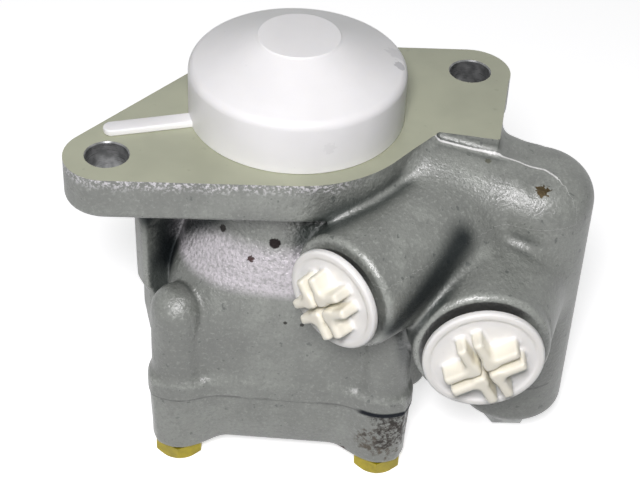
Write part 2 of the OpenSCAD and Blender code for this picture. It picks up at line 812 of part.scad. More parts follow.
module rotor_circlip() {
  inner = journal_r - shaft_clip_bite + seat_gap;
  color([0.3, 0.3, 0.32]) open_ring(inner, shaft_clip_w, clip_low + seat_gap, rotor_low - side_gap);
}

// Spring ring with a gap, gripping a shaft
module open_ring(inner, width, low, high) {
  difference() {
    ring(inner + width, inner, low, high);
    translate([inner / 2, -width, low - over]) cube([inner + width, 2 * width, high - low + 2 * over]);
  }
}

module shaft_circlip() {
  inner = seat_r - shaft_clip_bite + seat_gap;
  low = bearing_z + seat_gap;
  color([0.3, 0.3, 0.32]) open_ring(inner, shaft_clip_w, low, low + shaft_clip_t);
}

module bearing_circlip() {
  outer = bearing_r + circlip_bite;
  low = bearing_z + seat_gap;
  color([0.3, 0.3, 0.32]) open_ring(outer - circlip_w, circlip_w, low, low + circlip_t - seat_gap);
}

// Lip seal: metal-backed rim, web and sprung lip on the shaft
module shaft_seal() {
  low = seal_high - seal_w;
  lip = seat_r + run_gap;
  rim = 3.5;
  web = 2;
  color([0.12, 0.12, 0.13]) rotate_extrude() polygon([
    [bearing_r, low], [bearing_r, seal_high], [lip + web, seal_high], [lip, seal_high - web / 2],
    [lip + 1, seal_high - web], [lip, low + web], [lip + web, low + 1], [lip + 2 * web, low + 1],
    [lip + 2 * web, seal_high - web], [bearing_r - rim, seal_high - web], [bearing_r - rim, low]
  ]);
}

// Race with a ball groove, between two radii
module race(outer, inner) {
  rotate_extrude() difference() {
    translate([inner, bearing_low]) square([outer - inner, bearing_w]);
    translate([pitch_r, ball_z]) circle(r = ball_r + run_gap);
  }
}

module bearing_outer_race() {
  color([0.75, 0.76, 0.78]) race(bearing_r, pitch_r + race_shoulder);
}

module bearing_inner_race() {
  color([0.75, 0.76, 0.78]) race(pitch_r - race_shoulder, seat_r + seat_gap);
}

module ball_places() {
  for (i = [0:ball_count - 1]) rotate([0, 0, 360 / ball_count * i])
    translate([pitch_r, 0, ball_z]) children();
}

module bearing_balls() {
  color([0.8, 0.8, 0.82]) ball_places() sphere(r = ball_r);
}

module bearing_cage() {
  half_w = 1.1;
  half_h = ball_r * 1.15;
  color([0.75, 0.62, 0.35]) difference() {
    ring(pitch_r + half_w, pitch_r - half_w, ball_z - half_h, ball_z + half_h);
    ball_places() sphere(r = ball_r + 3 * run_gap);
  }
}

module rear_bush() {
  color([0.7, 0.5, 0.25]) ring(journal_r + bush_wall, journal_r + run_gap, bush_low, bush_high);
}

// Shallow cone that holds the pressure plate against the cam ring
module disc_spring() {
  high = z_roof - seat_gap;
  low = z_plate_high + seat_gap;
  color([0.35, 0.35, 0.37]) rotate_extrude() polygon([
    [disc_inner_r, high - disc_t], [disc_inner_r, high], [disc_outer_r, low + disc_t], [disc_outer_r, low]
  ]);
}

module pressure_plate() {
  r = chamber_r - side_gap;
  shaft_pass = spline_r + side_gap * 16;
  middle = (z_cam_high + z_plate_high) / 2;
  color([0.58, 0.58, 0.6]) difference() {
    translate([0, 0, z_cam_high]) cylinder(h = plate_t, r = r);
    translate([0, 0, z_cam_high - over]) cylinder(h = plate_t + 2 * over, r = shaft_pass);
    ring(r + over, r - groove_depth, middle - groove_half, middle + groove_half);
    kidneys(kidney_in, kidney_out, pressure_span, z_cam_high - over, z_plate_high + over);
    dowel_places() translate([0, 0, z_cam_high - over])
      cylinder(h = pin_high - z_cam_high + over, r = pin_r + seat_gap);
  }
}

module plate_seal() {
  middle = (z_cam_high + z_plate_high) / 2;
  r = chamber_r - side_gap;
  color([0.1, 0.1, 0.1]) rotate_extrude() intersection() {
    translate([r - groove_depth / 2, middle]) circle(d = cord_d);
    translate([r - groove_depth + seat_gap, middle - cord_d]) square([groove_depth - seat_gap, 2 * cord_d]);
  }
}

// Hardened ring with the two-lobed contour that the vanes run on
module cam_ring() {
  color([0.5, 0.5, 0.53]) difference() {
    translate([0, 0, z_cam_low]) cylinder(h = cam_t, r = chamber_r - cam_fit);
    translate([0, 0, z_cam_low - over]) linear_extrude(cam_t + 2 * over)
      polygon([for (i = [0:cam_steps - 1]) polar(cam_r(360 / cam_steps * i), 360 / cam_steps * i)]);
    dowel_places() translate([0, 0, z_cam_low - over])
      cylinder(h = cam_t + 2 * over, r = pin_r + seat_gap);
  }
}

module rear_plate() {
  through = rear_plate_t + 2 * over;
  shaft_pass = journal_r + shaft_clip_w + side_gap * 10;
  color([0.58, 0.58, 0.6]) difference() {
    translate([0, 0, z_joint]) cylinder(h = rear_plate_t, r = chamber_r - side_gap);
    translate([0, 0, z_joint - over]) cylinder(h = through, r = shaft_pass);
    kidneys(kidney_in, kidney_out, suction_span, z_joint - over, z_cam_low + over);
    dowel_places() translate([0, 0, z_joint - over]) cylinder(h = through, r = pin_r + seat_gap);
  }
}

module dowel_pins() {
  low = z_joint - pin_depth + over;
  high = pin_high - over;
  color([0.7, 0.7, 0.72]) dowel_places() translate([0, 0, low]) cylinder(h = high - low, r = pin_r);
}

// Spool with a nose, two lands and a groove between them
module valve_spool() {
  land_high = spool_high - spool_nose;
  groove_high = land_high - spool_land;
  groove_low = groove_high - spool_groove;
  color([0.7, 0.7, 0.72]) in_tower_frame() translate([valve_offset, 0, 0]) rotate_extrude() polygon([
    [0, spool_high], [spool_nose_r, spool_high], [spool_nose_r, land_high], [spool_r, land_high],
    [spool_r, groove_high], [spool_groove_r, groove_high],
    [spool_groove_r, groove_low], [spool_r, groove_low], [spool_r, spool_low], [0, spool_low]
  ]);
}

// Height of the spring's wire after a number of turns, with one closed turn at each end
function coil_z(turns) =
  let (pitch = (spring_len - wire_d - 2 * coil_pitch_closed) / coil_turns)
  min(turns, 1) * coil_pitch_closed + min(max(turns - 1, 0), coil_turns) * pitch
  + max(turns - 1 - coil_turns, 0) * coil_pitch_closed;

module valve_spring() {
  sides = 8;
  per_turn = 16;
  rings = (coil_turns + 2) * per_turn;
  low = guide_high + side_gap + wire_d / 2;
  points = [for (i = [0:rings], j = [0:sides - 1])
    let (a = 360 * i / per_turn, b = 360 * j / sides, r = coil_r + wire_d / 2 * cos(b))
    [r * cos(a), r * sin(a), low + coil_z(i / per_turn) + wire_d / 2 * sin(b)]];
  skin = [for (i = [0:rings - 1], j = [0:sides - 1])
    [i * sides + j, (i + 1) * sides + j, (i + 1) * sides + (j + 1) % sides, i * sides + (j + 1) % sides]];
  ends = [[for (j = [0:sides - 1]) j], [for (j = [sides - 1:-1:0]) rings * sides + j]];
  color([0.55, 0.55, 0.57]) in_tower_frame() translate([valve_offset, 0, 0])
    polyhedron(points = points, faces = concat(skin, ends), convexity = 10);
}

module valve_plug() {
  seal_low = -tower_depth - plug_seal_t;
  collar_end = seal_low - plug_collar_t;
  guide_r = spool_r - over;
  color([0.55, 0.56, 0.58]) in_tower_frame() translate([valve_offset, 0, 0]) {
    rotate_extrude() polygon([
      [0, guide_high], [guide_r, guide_high], [guide_r, plug_high],
      [plug_r - over, plug_high], [plug_r, plug_high - over],
      [plug_r, seal_low], [plug_collar_r, seal_low], [plug_collar_r, collar_end], [0, collar_end]
    ]);
    translate([0, 0, collar_end - plug_hex_h]) rotate(plug_hex_turn - tower_angle)
      cylinder(h = plug_hex_h + over, r = plug_af / 2 / cos(30), $fn = 6);
  }
}

module valve_plug_seal() {
  outer = plug_collar_r + offset_gap * 2;
  low = -tower_depth - plug_seal_t + seat_gap;
  color([0.72, 0.45, 0.3]) in_tower_frame() translate([valve_offset, 0, 0])
    ring(outer, plug_r + side_gap, low, -tower_depth - seat_gap);
}

// Thin cap with a sloping top and a flat disc in its middle
module cap_shell() {
  shoulder = cap_side - cap_edge;
  rise = atan2(cap_h - cap_side, cap_r - cap_disc_r);
  outer = concat(
    [[cap_r, 0]],
    arc([cap_r - cap_edge, shoulder], cap_edge, 0, 90 - rise, edge_steps),
    [[cap_disc_r, cap_h - cap_disc_step], [cap_disc_r, cap_h], [0, cap_h]]
  );
  inner = [
    [0, cap_h - cap_wall], [cap_disc_r - cap_wall, cap_h - cap_wall],
    [cap_r - cap_wall, shoulder - cap_wall / 2], [cap_r - cap_wall, 0]
  ];
  rotate_extrude() polygon(concat(outer, inner));
}

module protective_cap() {
  reach = tab_reach - tab_w / 2;
  color([0.95, 0.95, 0.95]) {
    cap_shell();
    rotate([0, 0, tab_angle]) {
      translate([cap_r - cap_wall / 2, -tab_w / 2, 0]) cube([reach - cap_r + cap_wall / 2, tab_w, tab_t]);
      translate([reach, 0, 0]) cylinder(h = tab_t, r = tab_w / 2);
    }
  }
}

// Angle-shaped rib, one of the four that make the cross grip
module grip_rib(reach) {
  translate([grip_slot / 2, grip_slot / 2]) {
    square([reach - grip_slot / 2, grip_t]);
    square([grip_t, reach - grip_slot / 2]);
  }
}

// Moulded plug: hollow shank, round-edged disc and four ribs with a crossed slot between them
module port_plug(disc_r, bore_r, stand_off, grip_reach, grip_turn) {
  shank_r = bore_r - shank_gap;
  top = stand_off + disc_h;
  rotate_extrude() polygon(concat(
    [[0, 0], [shank_r - shank_wall, 0], [shank_r - shank_wall, -shank_len], [shank_r, -shank_len],
      [shank_r, stand_off], [disc_r, stand_off]],
    arc([disc_r - disc_edge, top - disc_edge], disc_edge, 0, 90, edge_steps),
    [[0, top]]
  ));
  rotate(grip_turn) translate([0, 0, top - over]) linear_extrude(grip_h + over)
    for (i = [0:3]) rotate(90 * i) grip_rib(grip_reach);
}

module upper_port_plug() {
  color([0.95, 0.94, 0.88]) at_upper_port()
    port_plug(upper_disc_r, upper_port_r, upper_stand_off, upper_grip_reach, upper_grip_turn);
}

module lower_port_plug() {
  color([0.95, 0.94, 0.88]) at_lower_port()
    port_plug(lower_disc_r, lower_port_r, lower_stand_off, lower_grip_reach, lower_grip_turn);
}

housing();
rear_cover();
cover_bolts();
cover_seal();
drive_shaft();
shaft_seal();
shaft_circlip();
bearing_outer_race();
bearing_inner_race();
bearing_cage();
bearing_balls();
bearing_circlip();
rear_bush();
disc_spring();
pressure_plate();
plate_seal();
cam_ring();
rear_plate();
dowel_pins();
rotor();
rotor_circlip();
vane(0);  // vane_0
vane(1);  // vane_1
vane(2);  // vane_2
vane(3);  // vane_3
vane(4);  // vane_4
vane(5);  // vane_5
vane(6);  // vane_6
vane(7);  // vane_7
vane(8);  // vane_8
vane(9);  // vane_9
valve_spool();
valve_spring();
valve_plug();
valve_plug_seal();
protective_cap();
upper_port_plug();
lower_port_plug();
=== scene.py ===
"""Looks of a cast power steering pump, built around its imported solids.

The housing and the cover are made as cast blanks with soft fillets and are then cut by the same faces and
bores as the solids. A piece is made in millimetres, in the part's own frame, and stored in metres.
"""

import math

import bmesh
import bpy
import numpy as np
from mathutils import Matrix, Vector


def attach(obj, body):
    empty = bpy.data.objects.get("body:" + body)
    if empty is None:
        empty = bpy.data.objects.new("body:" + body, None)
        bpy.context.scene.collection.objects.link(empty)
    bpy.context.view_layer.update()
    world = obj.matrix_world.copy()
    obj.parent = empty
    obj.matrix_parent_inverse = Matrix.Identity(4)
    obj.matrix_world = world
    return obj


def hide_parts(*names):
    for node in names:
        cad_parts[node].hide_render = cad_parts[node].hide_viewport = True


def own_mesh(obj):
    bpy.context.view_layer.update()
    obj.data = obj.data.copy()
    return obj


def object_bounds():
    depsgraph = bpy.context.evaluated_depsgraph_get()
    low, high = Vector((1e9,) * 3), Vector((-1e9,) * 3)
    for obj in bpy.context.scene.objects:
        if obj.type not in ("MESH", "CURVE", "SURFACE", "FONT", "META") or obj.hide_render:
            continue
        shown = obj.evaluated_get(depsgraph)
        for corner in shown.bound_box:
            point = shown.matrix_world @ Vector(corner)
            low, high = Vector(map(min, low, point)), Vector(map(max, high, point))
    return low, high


bl_info = {
    "name": "Power steering pump",
    "version": (1, 0, 0),
    "blender": (4, 5, 0),
    "location": "View3D > Sidebar > Pump",
    "description": "Builds the castings, closures, screws and finishes of a power steering pump",
    "category": "Object",
}

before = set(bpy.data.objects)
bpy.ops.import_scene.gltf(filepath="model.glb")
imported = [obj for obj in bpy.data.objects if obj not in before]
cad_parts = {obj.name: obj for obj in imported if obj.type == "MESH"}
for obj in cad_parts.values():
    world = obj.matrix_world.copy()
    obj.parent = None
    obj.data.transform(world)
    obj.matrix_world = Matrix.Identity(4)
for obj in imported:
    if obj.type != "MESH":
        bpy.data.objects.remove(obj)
CAD_LOW, CAD_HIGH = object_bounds()

MM = 0.001
STOCK = 4.0  # left on a casting's faces for the mill
FAR_BELOW = -130.0  # clear of the part, for tools
PARTING_LOW = -20.0  # where the parting line ends
NO_PARTING = 9.0  # distance kept where no parting line is near
LARGE_STAIN = 5.0  # radius above which a stain is broken up
AS_CAST, MILLED, BORED = range(3)  # finishes of a casting
FULL_TURN = 2 * math.pi

# Levels and radii of the solids, in millimetres
JOINT_Z = -87.5
FOOT_Z = -111.0
HOLE_PLACE = 62.5
HOLE_R = 6.5
HOLE_CHAMFER = 0.4
FLANGE_T = 14.5
FLANGE_R = 39.5
LUG_R = 13.3
SQUARE_SIDE = 1.3
SPIGOT_R = 31.0
SPIGOT_H = 6.5
NECK_R = 32.0
SHOULDER_Z, SHOULDER_R = -29.0, 32.5
HIP_Z, HIP_R = -42.0, 37.8
CORNER_R = 47.4
SHOULDER_H = 13.0
BODY_FLAT = 38.8
BOLT_CIRCLE = 47.38
BOLT_TURN = math.radians(16)
BODY_TURN = BOLT_TURN + math.pi / 4
COLUMN_R = 8.8
COLUMN_TOP = JOINT_Z + 31.0
RIM_H = 6.5
RIM_OUT = 0.45
LOBE_PLACE = 38.0
LOBE_R = 11.0
TOWER_TURN = math.radians(-35)
VALVE_PLACE = 77.8
TOWER_R = 18.0
TOWER_FOOT = -104.0
TOWER_TOP = 5.2
TOWER_SLOPE = math.radians(9.5)
TOWER_ROUND = 12.0
WEB_HALF = 16.6
WEB_SPREAD = math.radians(14)
WEB_LOW = -76.0
CHAMBER_R = 31.0
CHAMBER_ROOF = -46.1
PORT_DEPTH = 18.0
GALLERY_R = 6.0
COVER_BEVEL = 3.0
COVER_BEVEL_H = 8.0
SPRING_LOW = -83.95
SPRING_LEN = 24.85


def length_value(name, description, default, low=0.0, high=0.1):
    return bpy.props.FloatProperty(
        name=name, description=description, default=default, min=low, max=high, precision=5, unit="LENGTH")


def colour_value(name, description, default):
    return bpy.props.FloatVectorProperty(
        name=name, description=description, default=default, size=3, min=0, max=1, subtype="COLOR")


def power_value(name, description, default):
    return bpy.props.FloatProperty(name=name, description=description, default=default, min=0, unit="POWER")


class CastingLooks(bpy.types.PropertyGroup):
    """Form and finish of the aluminium castings."""

    grid: length_value("Grid", "Spacing of the points that a casting is worked out on", 0.0008, 0.0005, 0.002)
    fillet: length_value("Fillet", "Radius where bosses, tower and flange run into the body", 0.0028, 0.001, 0.01)
    column_fillet: length_value("Column fillet", "Radius beside the housing's bolt columns", 0.0012, 0.0005, 0.014)
    cover_fillet: length_value("Cover fillet", "Radius beside the cover's bolt bosses", 0.008, 0.002, 0.014)
    edge: length_value("Cast edge", "Radius of the edges that stay as cast", 0.002, 0.0005, 0.004)
    triangles: bpy.props.IntProperty(
        name="Triangles", description="Triangles left in the housing's blank", default=150000, min=20000)
    colour: colour_value("Cast colour", "Colour of the aluminium as cast", (0.235, 0.249, 0.225))
    # dark: the colour of the specks, and of the painted shade in hollows and on undersides
    dark: colour_value("Dark colour", "Colour of the casting in its hollows and stains", (0.03, 0.038, 0.034))
    milled: colour_value("Milled colour", "Colour of the milled flange face", (0.385, 0.40, 0.295))
    grain: length_value("Grain", "Depth of the sand grain", 0.0003)


class ClosureLooks(bpy.types.PropertyGroup):
    """Form and finish of the plastic cap and plugs."""

    cap_colour: colour_value("Cap colour", "Colour of the white cap", (0.84, 0.84, 0.835))
    plug_colour: colour_value("Plug colour", "Colour of the port plugs' discs", (0.86, 0.855, 0.83))
    rib_colour: colour_value("Rib colour", "Colour of the port plugs' thick grip ribs", (0.86, 0.83, 0.71))
    grid: length_value("Grid", "Spacing of the points that a plug is worked out on", 0.00042, 0.0003, 0.001)
    edge: length_value("Moulded edge", "Radius of the plugs' edges", 0.0008, 0.0002, 0.0012)


class ScrewLooks(bpy.types.PropertyGroup):
    """Form and finish of the cover screws and the valve spring."""

    flats: length_value("Across flats", "Width of the screw heads", 0.015)
    head: length_value("Head height", "Height of the screw heads", 0.0062)
    shank: length_value("Shank radius", "Radius of the screws", 0.005)
    zinc: colour_value("Zinc colour", "Colour of the yellow zinc plating", (0.42, 0.34, 0.015))
    wire: length_value("Wire radius", "Radius of the spring's wire", 0.0007)
    coil: length_value("Coil radius", "Radius of the spring's coil", 0.005)
    turns: bpy.props.FloatProperty(
        name="Turns", description="Turns of the valve spring", default=7.0, min=3, max=12)


class StageLooks(bpy.types.PropertyGroup):
    """Floor, light and camera."""

    floor: colour_value("Floor colour", "Colour of the floor", (0.92, 0.92, 0.92))
    ambient: bpy.props.FloatProperty(
        name="Ambient", description="Strength of the even light from all sides", default=0.06, min=0)
    key: power_value("Key lamp", "Power of the large lamp above and behind", 0.05)
    front: power_value("Front lamp", "Power of the lamp beside the camera", 4.05)
    low: power_value("Low lamp", "Power of the wide lamp at the left", 0.6)


# Distances: negative inside, in millimetres


def from_segment(u, v, start, end):
    """Offsets of points from the nearest place on a segment."""
    (ax, ay), ex, ey = start, end[0] - start[0], end[1] - start[1]
    along = np.clip(((u - ax) * ex + (v - ay) * ey) / (ex * ex + ey * ey), 0, 1)
    return u - ax - ex * along, v - ay - ey * along


def outline_distance(u, v, points):
    """Distance to a closed outline, negative inside."""
    shape = np.broadcast(u, v).shape
    best = np.full(shape, np.inf, np.float32)
    inside = np.zeros(shape, bool)
    for start, end in zip(points, points[1:] + points[:1]):
        if start == end:
            continue
        off_u, off_v = from_segment(u, v, start, end)
        best = np.minimum(best, off_u ** 2 + off_v ** 2)
        (ax, ay), (bx, by) = start, end
        if ay != by:
            inside ^= ((ay > v) != (by > v)) & (u < ax + (v - ay) * (bx - ax) / (by - ay))
    return np.where(inside, -1, 1) * np.sqrt(best)


def union(a, b, r):
    """Joins two forms with a fillet of radius r."""
    return np.maximum(r, np.minimum(a, b)) - np.hypot(np.maximum(r - a, 0), np.maximum(r - b, 0))


def common(a, b, r):
    """What two forms share, with its new edge rounded to radius r."""
    return np.minimum(-r, np.maximum(a, b)) + np.hypot(np.maximum(r + a, 0), np.maximum(r + b, 0))


def between(w, low, high):
    """Distance to a slab from low to high."""
    return np.abs(w - (low + high) / 2) - (high - low) / 2


def polar(r, turn):
    return r * math.cos(turn), r * math.sin(turn)


def arc(centre, r, start, end, steps):
    """Points of an arc, its angles in degrees."""
    turns = (math.radians(start + (end - start) * i / steps) for i in range(steps + 1))
    return [(centre[0] + r * math.cos(t), centre[1] + r * math.sin(t)) for t in turns]


def turned(u, v, turn):
    """Coordinates in a frame turned about the shaft."""
    return u * math.cos(turn) + v * math.sin(turn), v * math.cos(turn) - u * math.sin(turn)


class Grid:
    """A block of evenly spaced points, and the mesh of a form worked out on it."""

    def __init__(self, low, high, step):
        self.low, self.step = np.array(low, float), step
        counts = [int(math.ceil((b - a) / step)) + 1 for a, b in zip(low, high)]
        axes = [np.float32(a) + np.float32(step) * np.arange(n, dtype=np.float32) for a, n in zip(low, counts)]
        self.x, self.y, self.z = np.meshgrid(*axes, indexing="ij", sparse=True)
        self.shape = tuple(counts)

    def sample(self, field, points):
        """The field's values at any points, between those of the grid."""
        place = (points - self.low) / self.step
        top = np.array(self.shape) - 1.001
        place = np.clip(place, 0, top)
        cell = place.astype(int)
        share = place - cell
        total = np.zeros(len(points))
        for corner in np.ndindex(2, 2, 2):
            weight = np.prod(np.where(corner, share, 1 - share), axis=1)
            i, j, k = (cell + corner).T
            total += weight * field[i, j, k]
        return total

    def slope(self, field, points):
        """The field's direction of growth at any points."""
        reach = self.step * 0.5
        return np.stack([
            (self.sample(field, points + reach * axis) - self.sample(field, points - reach * axis)) / (2 * reach)
            for axis in np.eye(3)], axis=1)

    def untangle(self, field):
        """Fills the few points where the surface would meet itself along an edge or at a corner."""
        near, far = slice(None, -1), slice(1, None)
        while True:
            fill = np.zeros(self.shape, bool)
            inside = field < 0
            for u, v in ((0, 1), (1, 2), (0, 2)):
                at = []
                for a in (near, far):
                    for b in (near, far):
                        window = [slice(None)] * 3
                        window[u], window[v] = a, b
                        at.append(tuple(window))
                first, second, third, fourth = (inside[w] for w in at)
                crossed = (first == fourth) & (second == third) & (first != second)
                for w in at:
                    fill[w] |= crossed & ~inside[w]
            corners = [tuple((near, far)[i] for i in c) for c in np.ndindex(2, 2, 2)]
            count = sum(inside[w].astype(np.int8) for w in corners)
            for i in range(4):
                a, b = corners[i], corners[7 - i]
                alone = ((count == 2) & inside[a] & inside[b]) | ((count == 6) & ~inside[a] & ~inside[b])
                for w in corners:
                    fill[w] |= alone & ~inside[w]
            if not fill.any():
                return field
            field = np.where(fill, np.float32(-0.01 * self.step), field)

    def skin(self, field):
        """Points and four-sided faces of the form's surface, one point in each cell that it crosses."""
        field = self.untangle(field)
        inside = field < 0
        cells = tuple(n - 1 for n in self.shape)
        window = {c: tuple(slice(c[i], c[i] + cells[i]) for i in range(3)) for c in np.ndindex(2, 2, 2)}
        count = sum(inside[window[c]].astype(np.int8) for c in window)
        crossed = (count > 0) & (count < 8)
        index = np.full(cells, -1, np.int64)
        index[crossed] = np.arange(np.count_nonzero(crossed))
        total = np.zeros((np.count_nonzero(crossed), 3))
        hits = np.zeros(len(total))
        faces = []
        for axis in range(3):
            ahead = tuple(int(i == axis) for i in range(3))
            for start in window:
                if start[axis]:
                    continue
                end = tuple(a + b for a, b in zip(start, ahead))
                a, b = field[window[start]][crossed], field[window[end]][crossed]
                cut = (a < 0) != (b < 0)
                share = np.where(cut, a / np.where(cut, a - b, 1), 0)
                total += cut[:, None] * np.array(start) + share[:, None] * np.array(ahead)
                hits += cut
            u, v = (axis + 1) % 3, (axis + 2) % 3
            first, second = [slice(1, -1)] * 3, [slice(1, -1)] * 3
            first[axis], second[axis] = slice(0, -1), slice(1, None)
            a, b = inside[tuple(first)], inside[tuple(second)]
            for leaving in (True, False):
                edge = np.argwhere((a & ~b) if leaving else (b & ~a))
                edge[:, [u, v]] += 1
                back_u, back_v = np.eye(3, dtype=int)[u], np.eye(3, dtype=int)[v]
                ring = [edge, edge - back_u, edge - back_u - back_v, edge - back_v]
                if not leaving:
                    ring.reverse()
                faces.append(np.stack([index[tuple(c.T)] for c in ring], axis=1))
        points = self.low + (np.argwhere(crossed) + total / hits[:, None]) * self.step
        for _ in range(3):
            grow = self.slope(field, points)
            away = self.sample(field, points) / np.maximum((grow ** 2).sum(1), 0.25)
            points = points - np.clip(away, -0.5 * self.step, 0.5 * self.step)[:, None] * grow
        return points, np.concatenate(faces)


# Meshes


def mesh_object(name, points, faces, finish=AS_CAST):
    """A linked object with a new mesh, all of its faces with one finish."""
    mesh = bpy.data.meshes.new(name)
    mesh.from_pydata([tuple(p) for p in points], [], [tuple(int(i) for i in f) for f in faces])
    mesh.polygons.foreach_set("material_index", np.full(len(mesh.polygons), finish, np.int32))
    made = bpy.data.objects.new(name, mesh)
    bpy.context.scene.collection.objects.link(made)
    return made


def faced_out(made):
    """Turns the faces of a closed mesh outwards."""
    work = bmesh.new()
    work.from_mesh(made.data)
    bmesh.ops.remove_doubles(work, verts=work.verts, dist=1e-5)
    bmesh.ops.recalc_face_normals(work, faces=work.faces)
    work.to_mesh(made.data)
    work.free()
    return made


def revolved(name, profile, place=None, sides=96, finish=AS_CAST):
    """Closed solid of revolution about z. Its profile runs from the axis to the axis, as radius and height."""
    points, rings, faces = [], [], []
    for r, z in profile:
        if r < 1e-6:
            rings.append([len(points)])
            points.append((0, 0, z))
        else:
            rings.append(list(range(len(points), len(points) + sides)))
            points += [(*polar(r, FULL_TURN * i / sides), z) for i in range(sides)]
    for a, b in zip(rings, rings[1:]):
        for i in range(sides):
            j = (i + 1) % sides
            if len(a) == 1 and len(b) == 1:
                continue
            if len(a) == 1:
                faces.append((a[0], b[i], b[j]))
            elif len(b) == 1:
                faces.append((a[i], b[0], a[j]))
            else:
                faces.append((a[i], b[i], b[j], a[j]))
    made = mesh_object(name, points, faces, finish)
    if place is not None:
        made.data.transform(place)
    return faced_out(made)


def prism(name, outline, low, high, finish=AS_CAST):
    """Closed prism on an outline."""
    n = len(outline)
    points = [(*p, low) for p in outline] + [(*p, high) for p in outline]
    faces = [tuple(range(n)), tuple(range(n, 2 * n))] + [
        (i, (i + 1) % n, n + (i + 1) % n, n + i) for i in range(n)]
    return faced_out(mesh_object(name, points, faces, finish))


def settle(made):
    """Replaces an object's mesh by what its modifiers make of it."""
    bpy.context.view_layer.update()
    graph = bpy.context.evaluated_depsgraph_get()
    mesh = bpy.data.meshes.new_from_object(made.evaluated_get(graph))
    made.modifiers.clear()
    old, made.data = made.data, mesh
    bpy.data.meshes.remove(old)
    return made


def combine(made, tool, operation="DIFFERENCE"):
    """Cuts a solid with a tool, or joins them, and removes the tool."""
    for mesh in (made.data, tool.data):
        while len(mesh.materials) <= BORED:
            mesh.materials.append(None)
    step = made.modifiers.new(operation, "BOOLEAN")
    step.operation, step.object, step.solver = operation, tool, "MANIFOLD"
    before = len(made.data.vertices)
    settle(made)
    if len(made.data.vertices) in (0, before):
        raise RuntimeError(f"{made.name}: {tool.name} did not cut or join")
    mesh = tool.data
    bpy.data.objects.remove(tool)
    bpy.data.meshes.remove(mesh)
    return made


def thinned(made, triangles):
    """Takes triangles out where the surface is nearly flat."""
    now = sum(len(p.vertices) - 2 for p in made.data.polygons)
    if now > triangles:
        step = made.modifiers.new("Thin", "DECIMATE")
        step.ratio = triangles / now
        settle(made)
    return made


def finished(made, body, slot, replaced, *finishes, sharp=30):
    """Stores a piece in metres with its finishes and puts it on its body."""
    mesh = made.data
    index = np.zeros(len(mesh.polygons), np.int32)
    mesh.polygons.foreach_get("material_index", index)
    mesh.materials.clear()
    for finish in finishes:
        mesh.materials.append(finish)
    mesh.polygons.foreach_set("material_index", np.minimum(index, len(finishes) - 1))
    mesh.transform(Matrix.Scale(MM, 4))
    mesh.polygons.foreach_set("use_smooth", np.ones(len(mesh.polygons), bool))
    limit = math.cos(math.radians(sharp))
    work = bmesh.new()
    work.from_mesh(mesh)
    work.normal_update()
    for edge in work.edges:
        if len(edge.link_faces) != 2:
            continue
        one, two = edge.link_faces
        cast = one.material_index == two.material_index == AS_CAST and len(finishes) > 1
        differ = one.material_index != two.material_index
        edge.smooth = not (differ or (not cast and one.normal.dot(two.normal) < limit))
    work.to_mesh(mesh)
    work.free()
    mesh.update()
    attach(made, body)
    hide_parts(*replaced)
    return made


def note(made, name, values):
    """Keeps a number for each point of a mesh, for its finish to read."""
    held = made.data.attributes.new(name, "FLOAT", "POINT")
    held.data.foreach_set("value", np.asarray(values, np.float32))


def nearness(points, line, reach):
    """How near points lie to a line through some places: 1 on it, 0 a reach away."""
    best = np.full(len(points), np.inf)
    for start, end in zip(line, line[1:]):
        way = np.subtract(end, start)
        along = np.clip((points - start) @ way / (way @ way), 0, 1)
        best = np.minimum(best, np.linalg.norm(points - start - along[:, None] * way, axis=1))
    return np.clip(1 - best / reach, 0, 1)


def form_notes(made, grid, field):
    """Keeps how hollow and ridged the cast form is, and how far it faces down, at each point of a mesh.

    The mesh is still in millimetres.
    """
    points = np.zeros(len(made.data.vertices) * 3, np.float32)
    made.data.vertices.foreach_get("co", points)
    points = points.reshape(-1, 3).astype(float)
    normals = grid.slope(field, points)
    normals /= np.maximum(np.linalg.norm(normals, axis=1, keepdims=True), 1e-6)
    depth = grid.sample(field, points)
    opened = sum((grid.sample(field, points + normals * h) - depth) / h for h in (2.0, 5.0, 10.0, 18.0)) / 4
    note(made, "hollow", np.clip(1 - opened, 0, 1))
    note(made, "under", np.clip(-normals[:, 2], 0, 1))
    reach = 2.0
    around = sum(grid.sample(field, points + side * reach * axis) for axis in np.eye(3) for side in (-1, 1))
    note(made, "ridge", np.clip((around - 6 * depth) / reach ** 2, -1, 1))
    return points


# Finishes


class Wire:
    """An output of a node, so that the maths of a finish reads as arithmetic."""

    def __init__(self, finish, socket):
        self.finish, self.socket = finish, socket

    def _math(self, operation, first, second):
        return self.finish.node("ShaderNodeMath", {"operation": operation}, {0: first, 1: second})

    def __add__(self, other):
        return self._math("ADD", self, other)

    def __radd__(self, other):
        return self._math("ADD", other, self)

    def __sub__(self, other):
        return self._math("SUBTRACT", self, other)

    def __rsub__(self, other):
        return self._math("SUBTRACT", other, self)

    def __mul__(self, other):
        return self._math("MULTIPLY", self, other)

    def __rmul__(self, other):
        return self._math("MULTIPLY", other, self)

    def __truediv__(self, other):
        return self._math("DIVIDE", self, other)

    def __abs__(self):
        return self._math("ABSOLUTE", self, 0.0)

    def most(self, other):
        return self._math("MAXIMUM", self, other)

    def step(self, low, high):
        """Rises smoothly from 0 at low to 1 at high, or falls where low is above high."""
        return self.finish.node(
            "ShaderNodeMapRange", {"interpolation_type": "SMOOTHSTEP"},
            {"Value": self, "From Min": min(low, high), "From Max": max(low, high),
             "To Min": float(low > high), "To Max": float(low < high)})


SEEN_BY = ("Is Camera Ray", "Is Glossy Ray", "Is Transmission Ray")


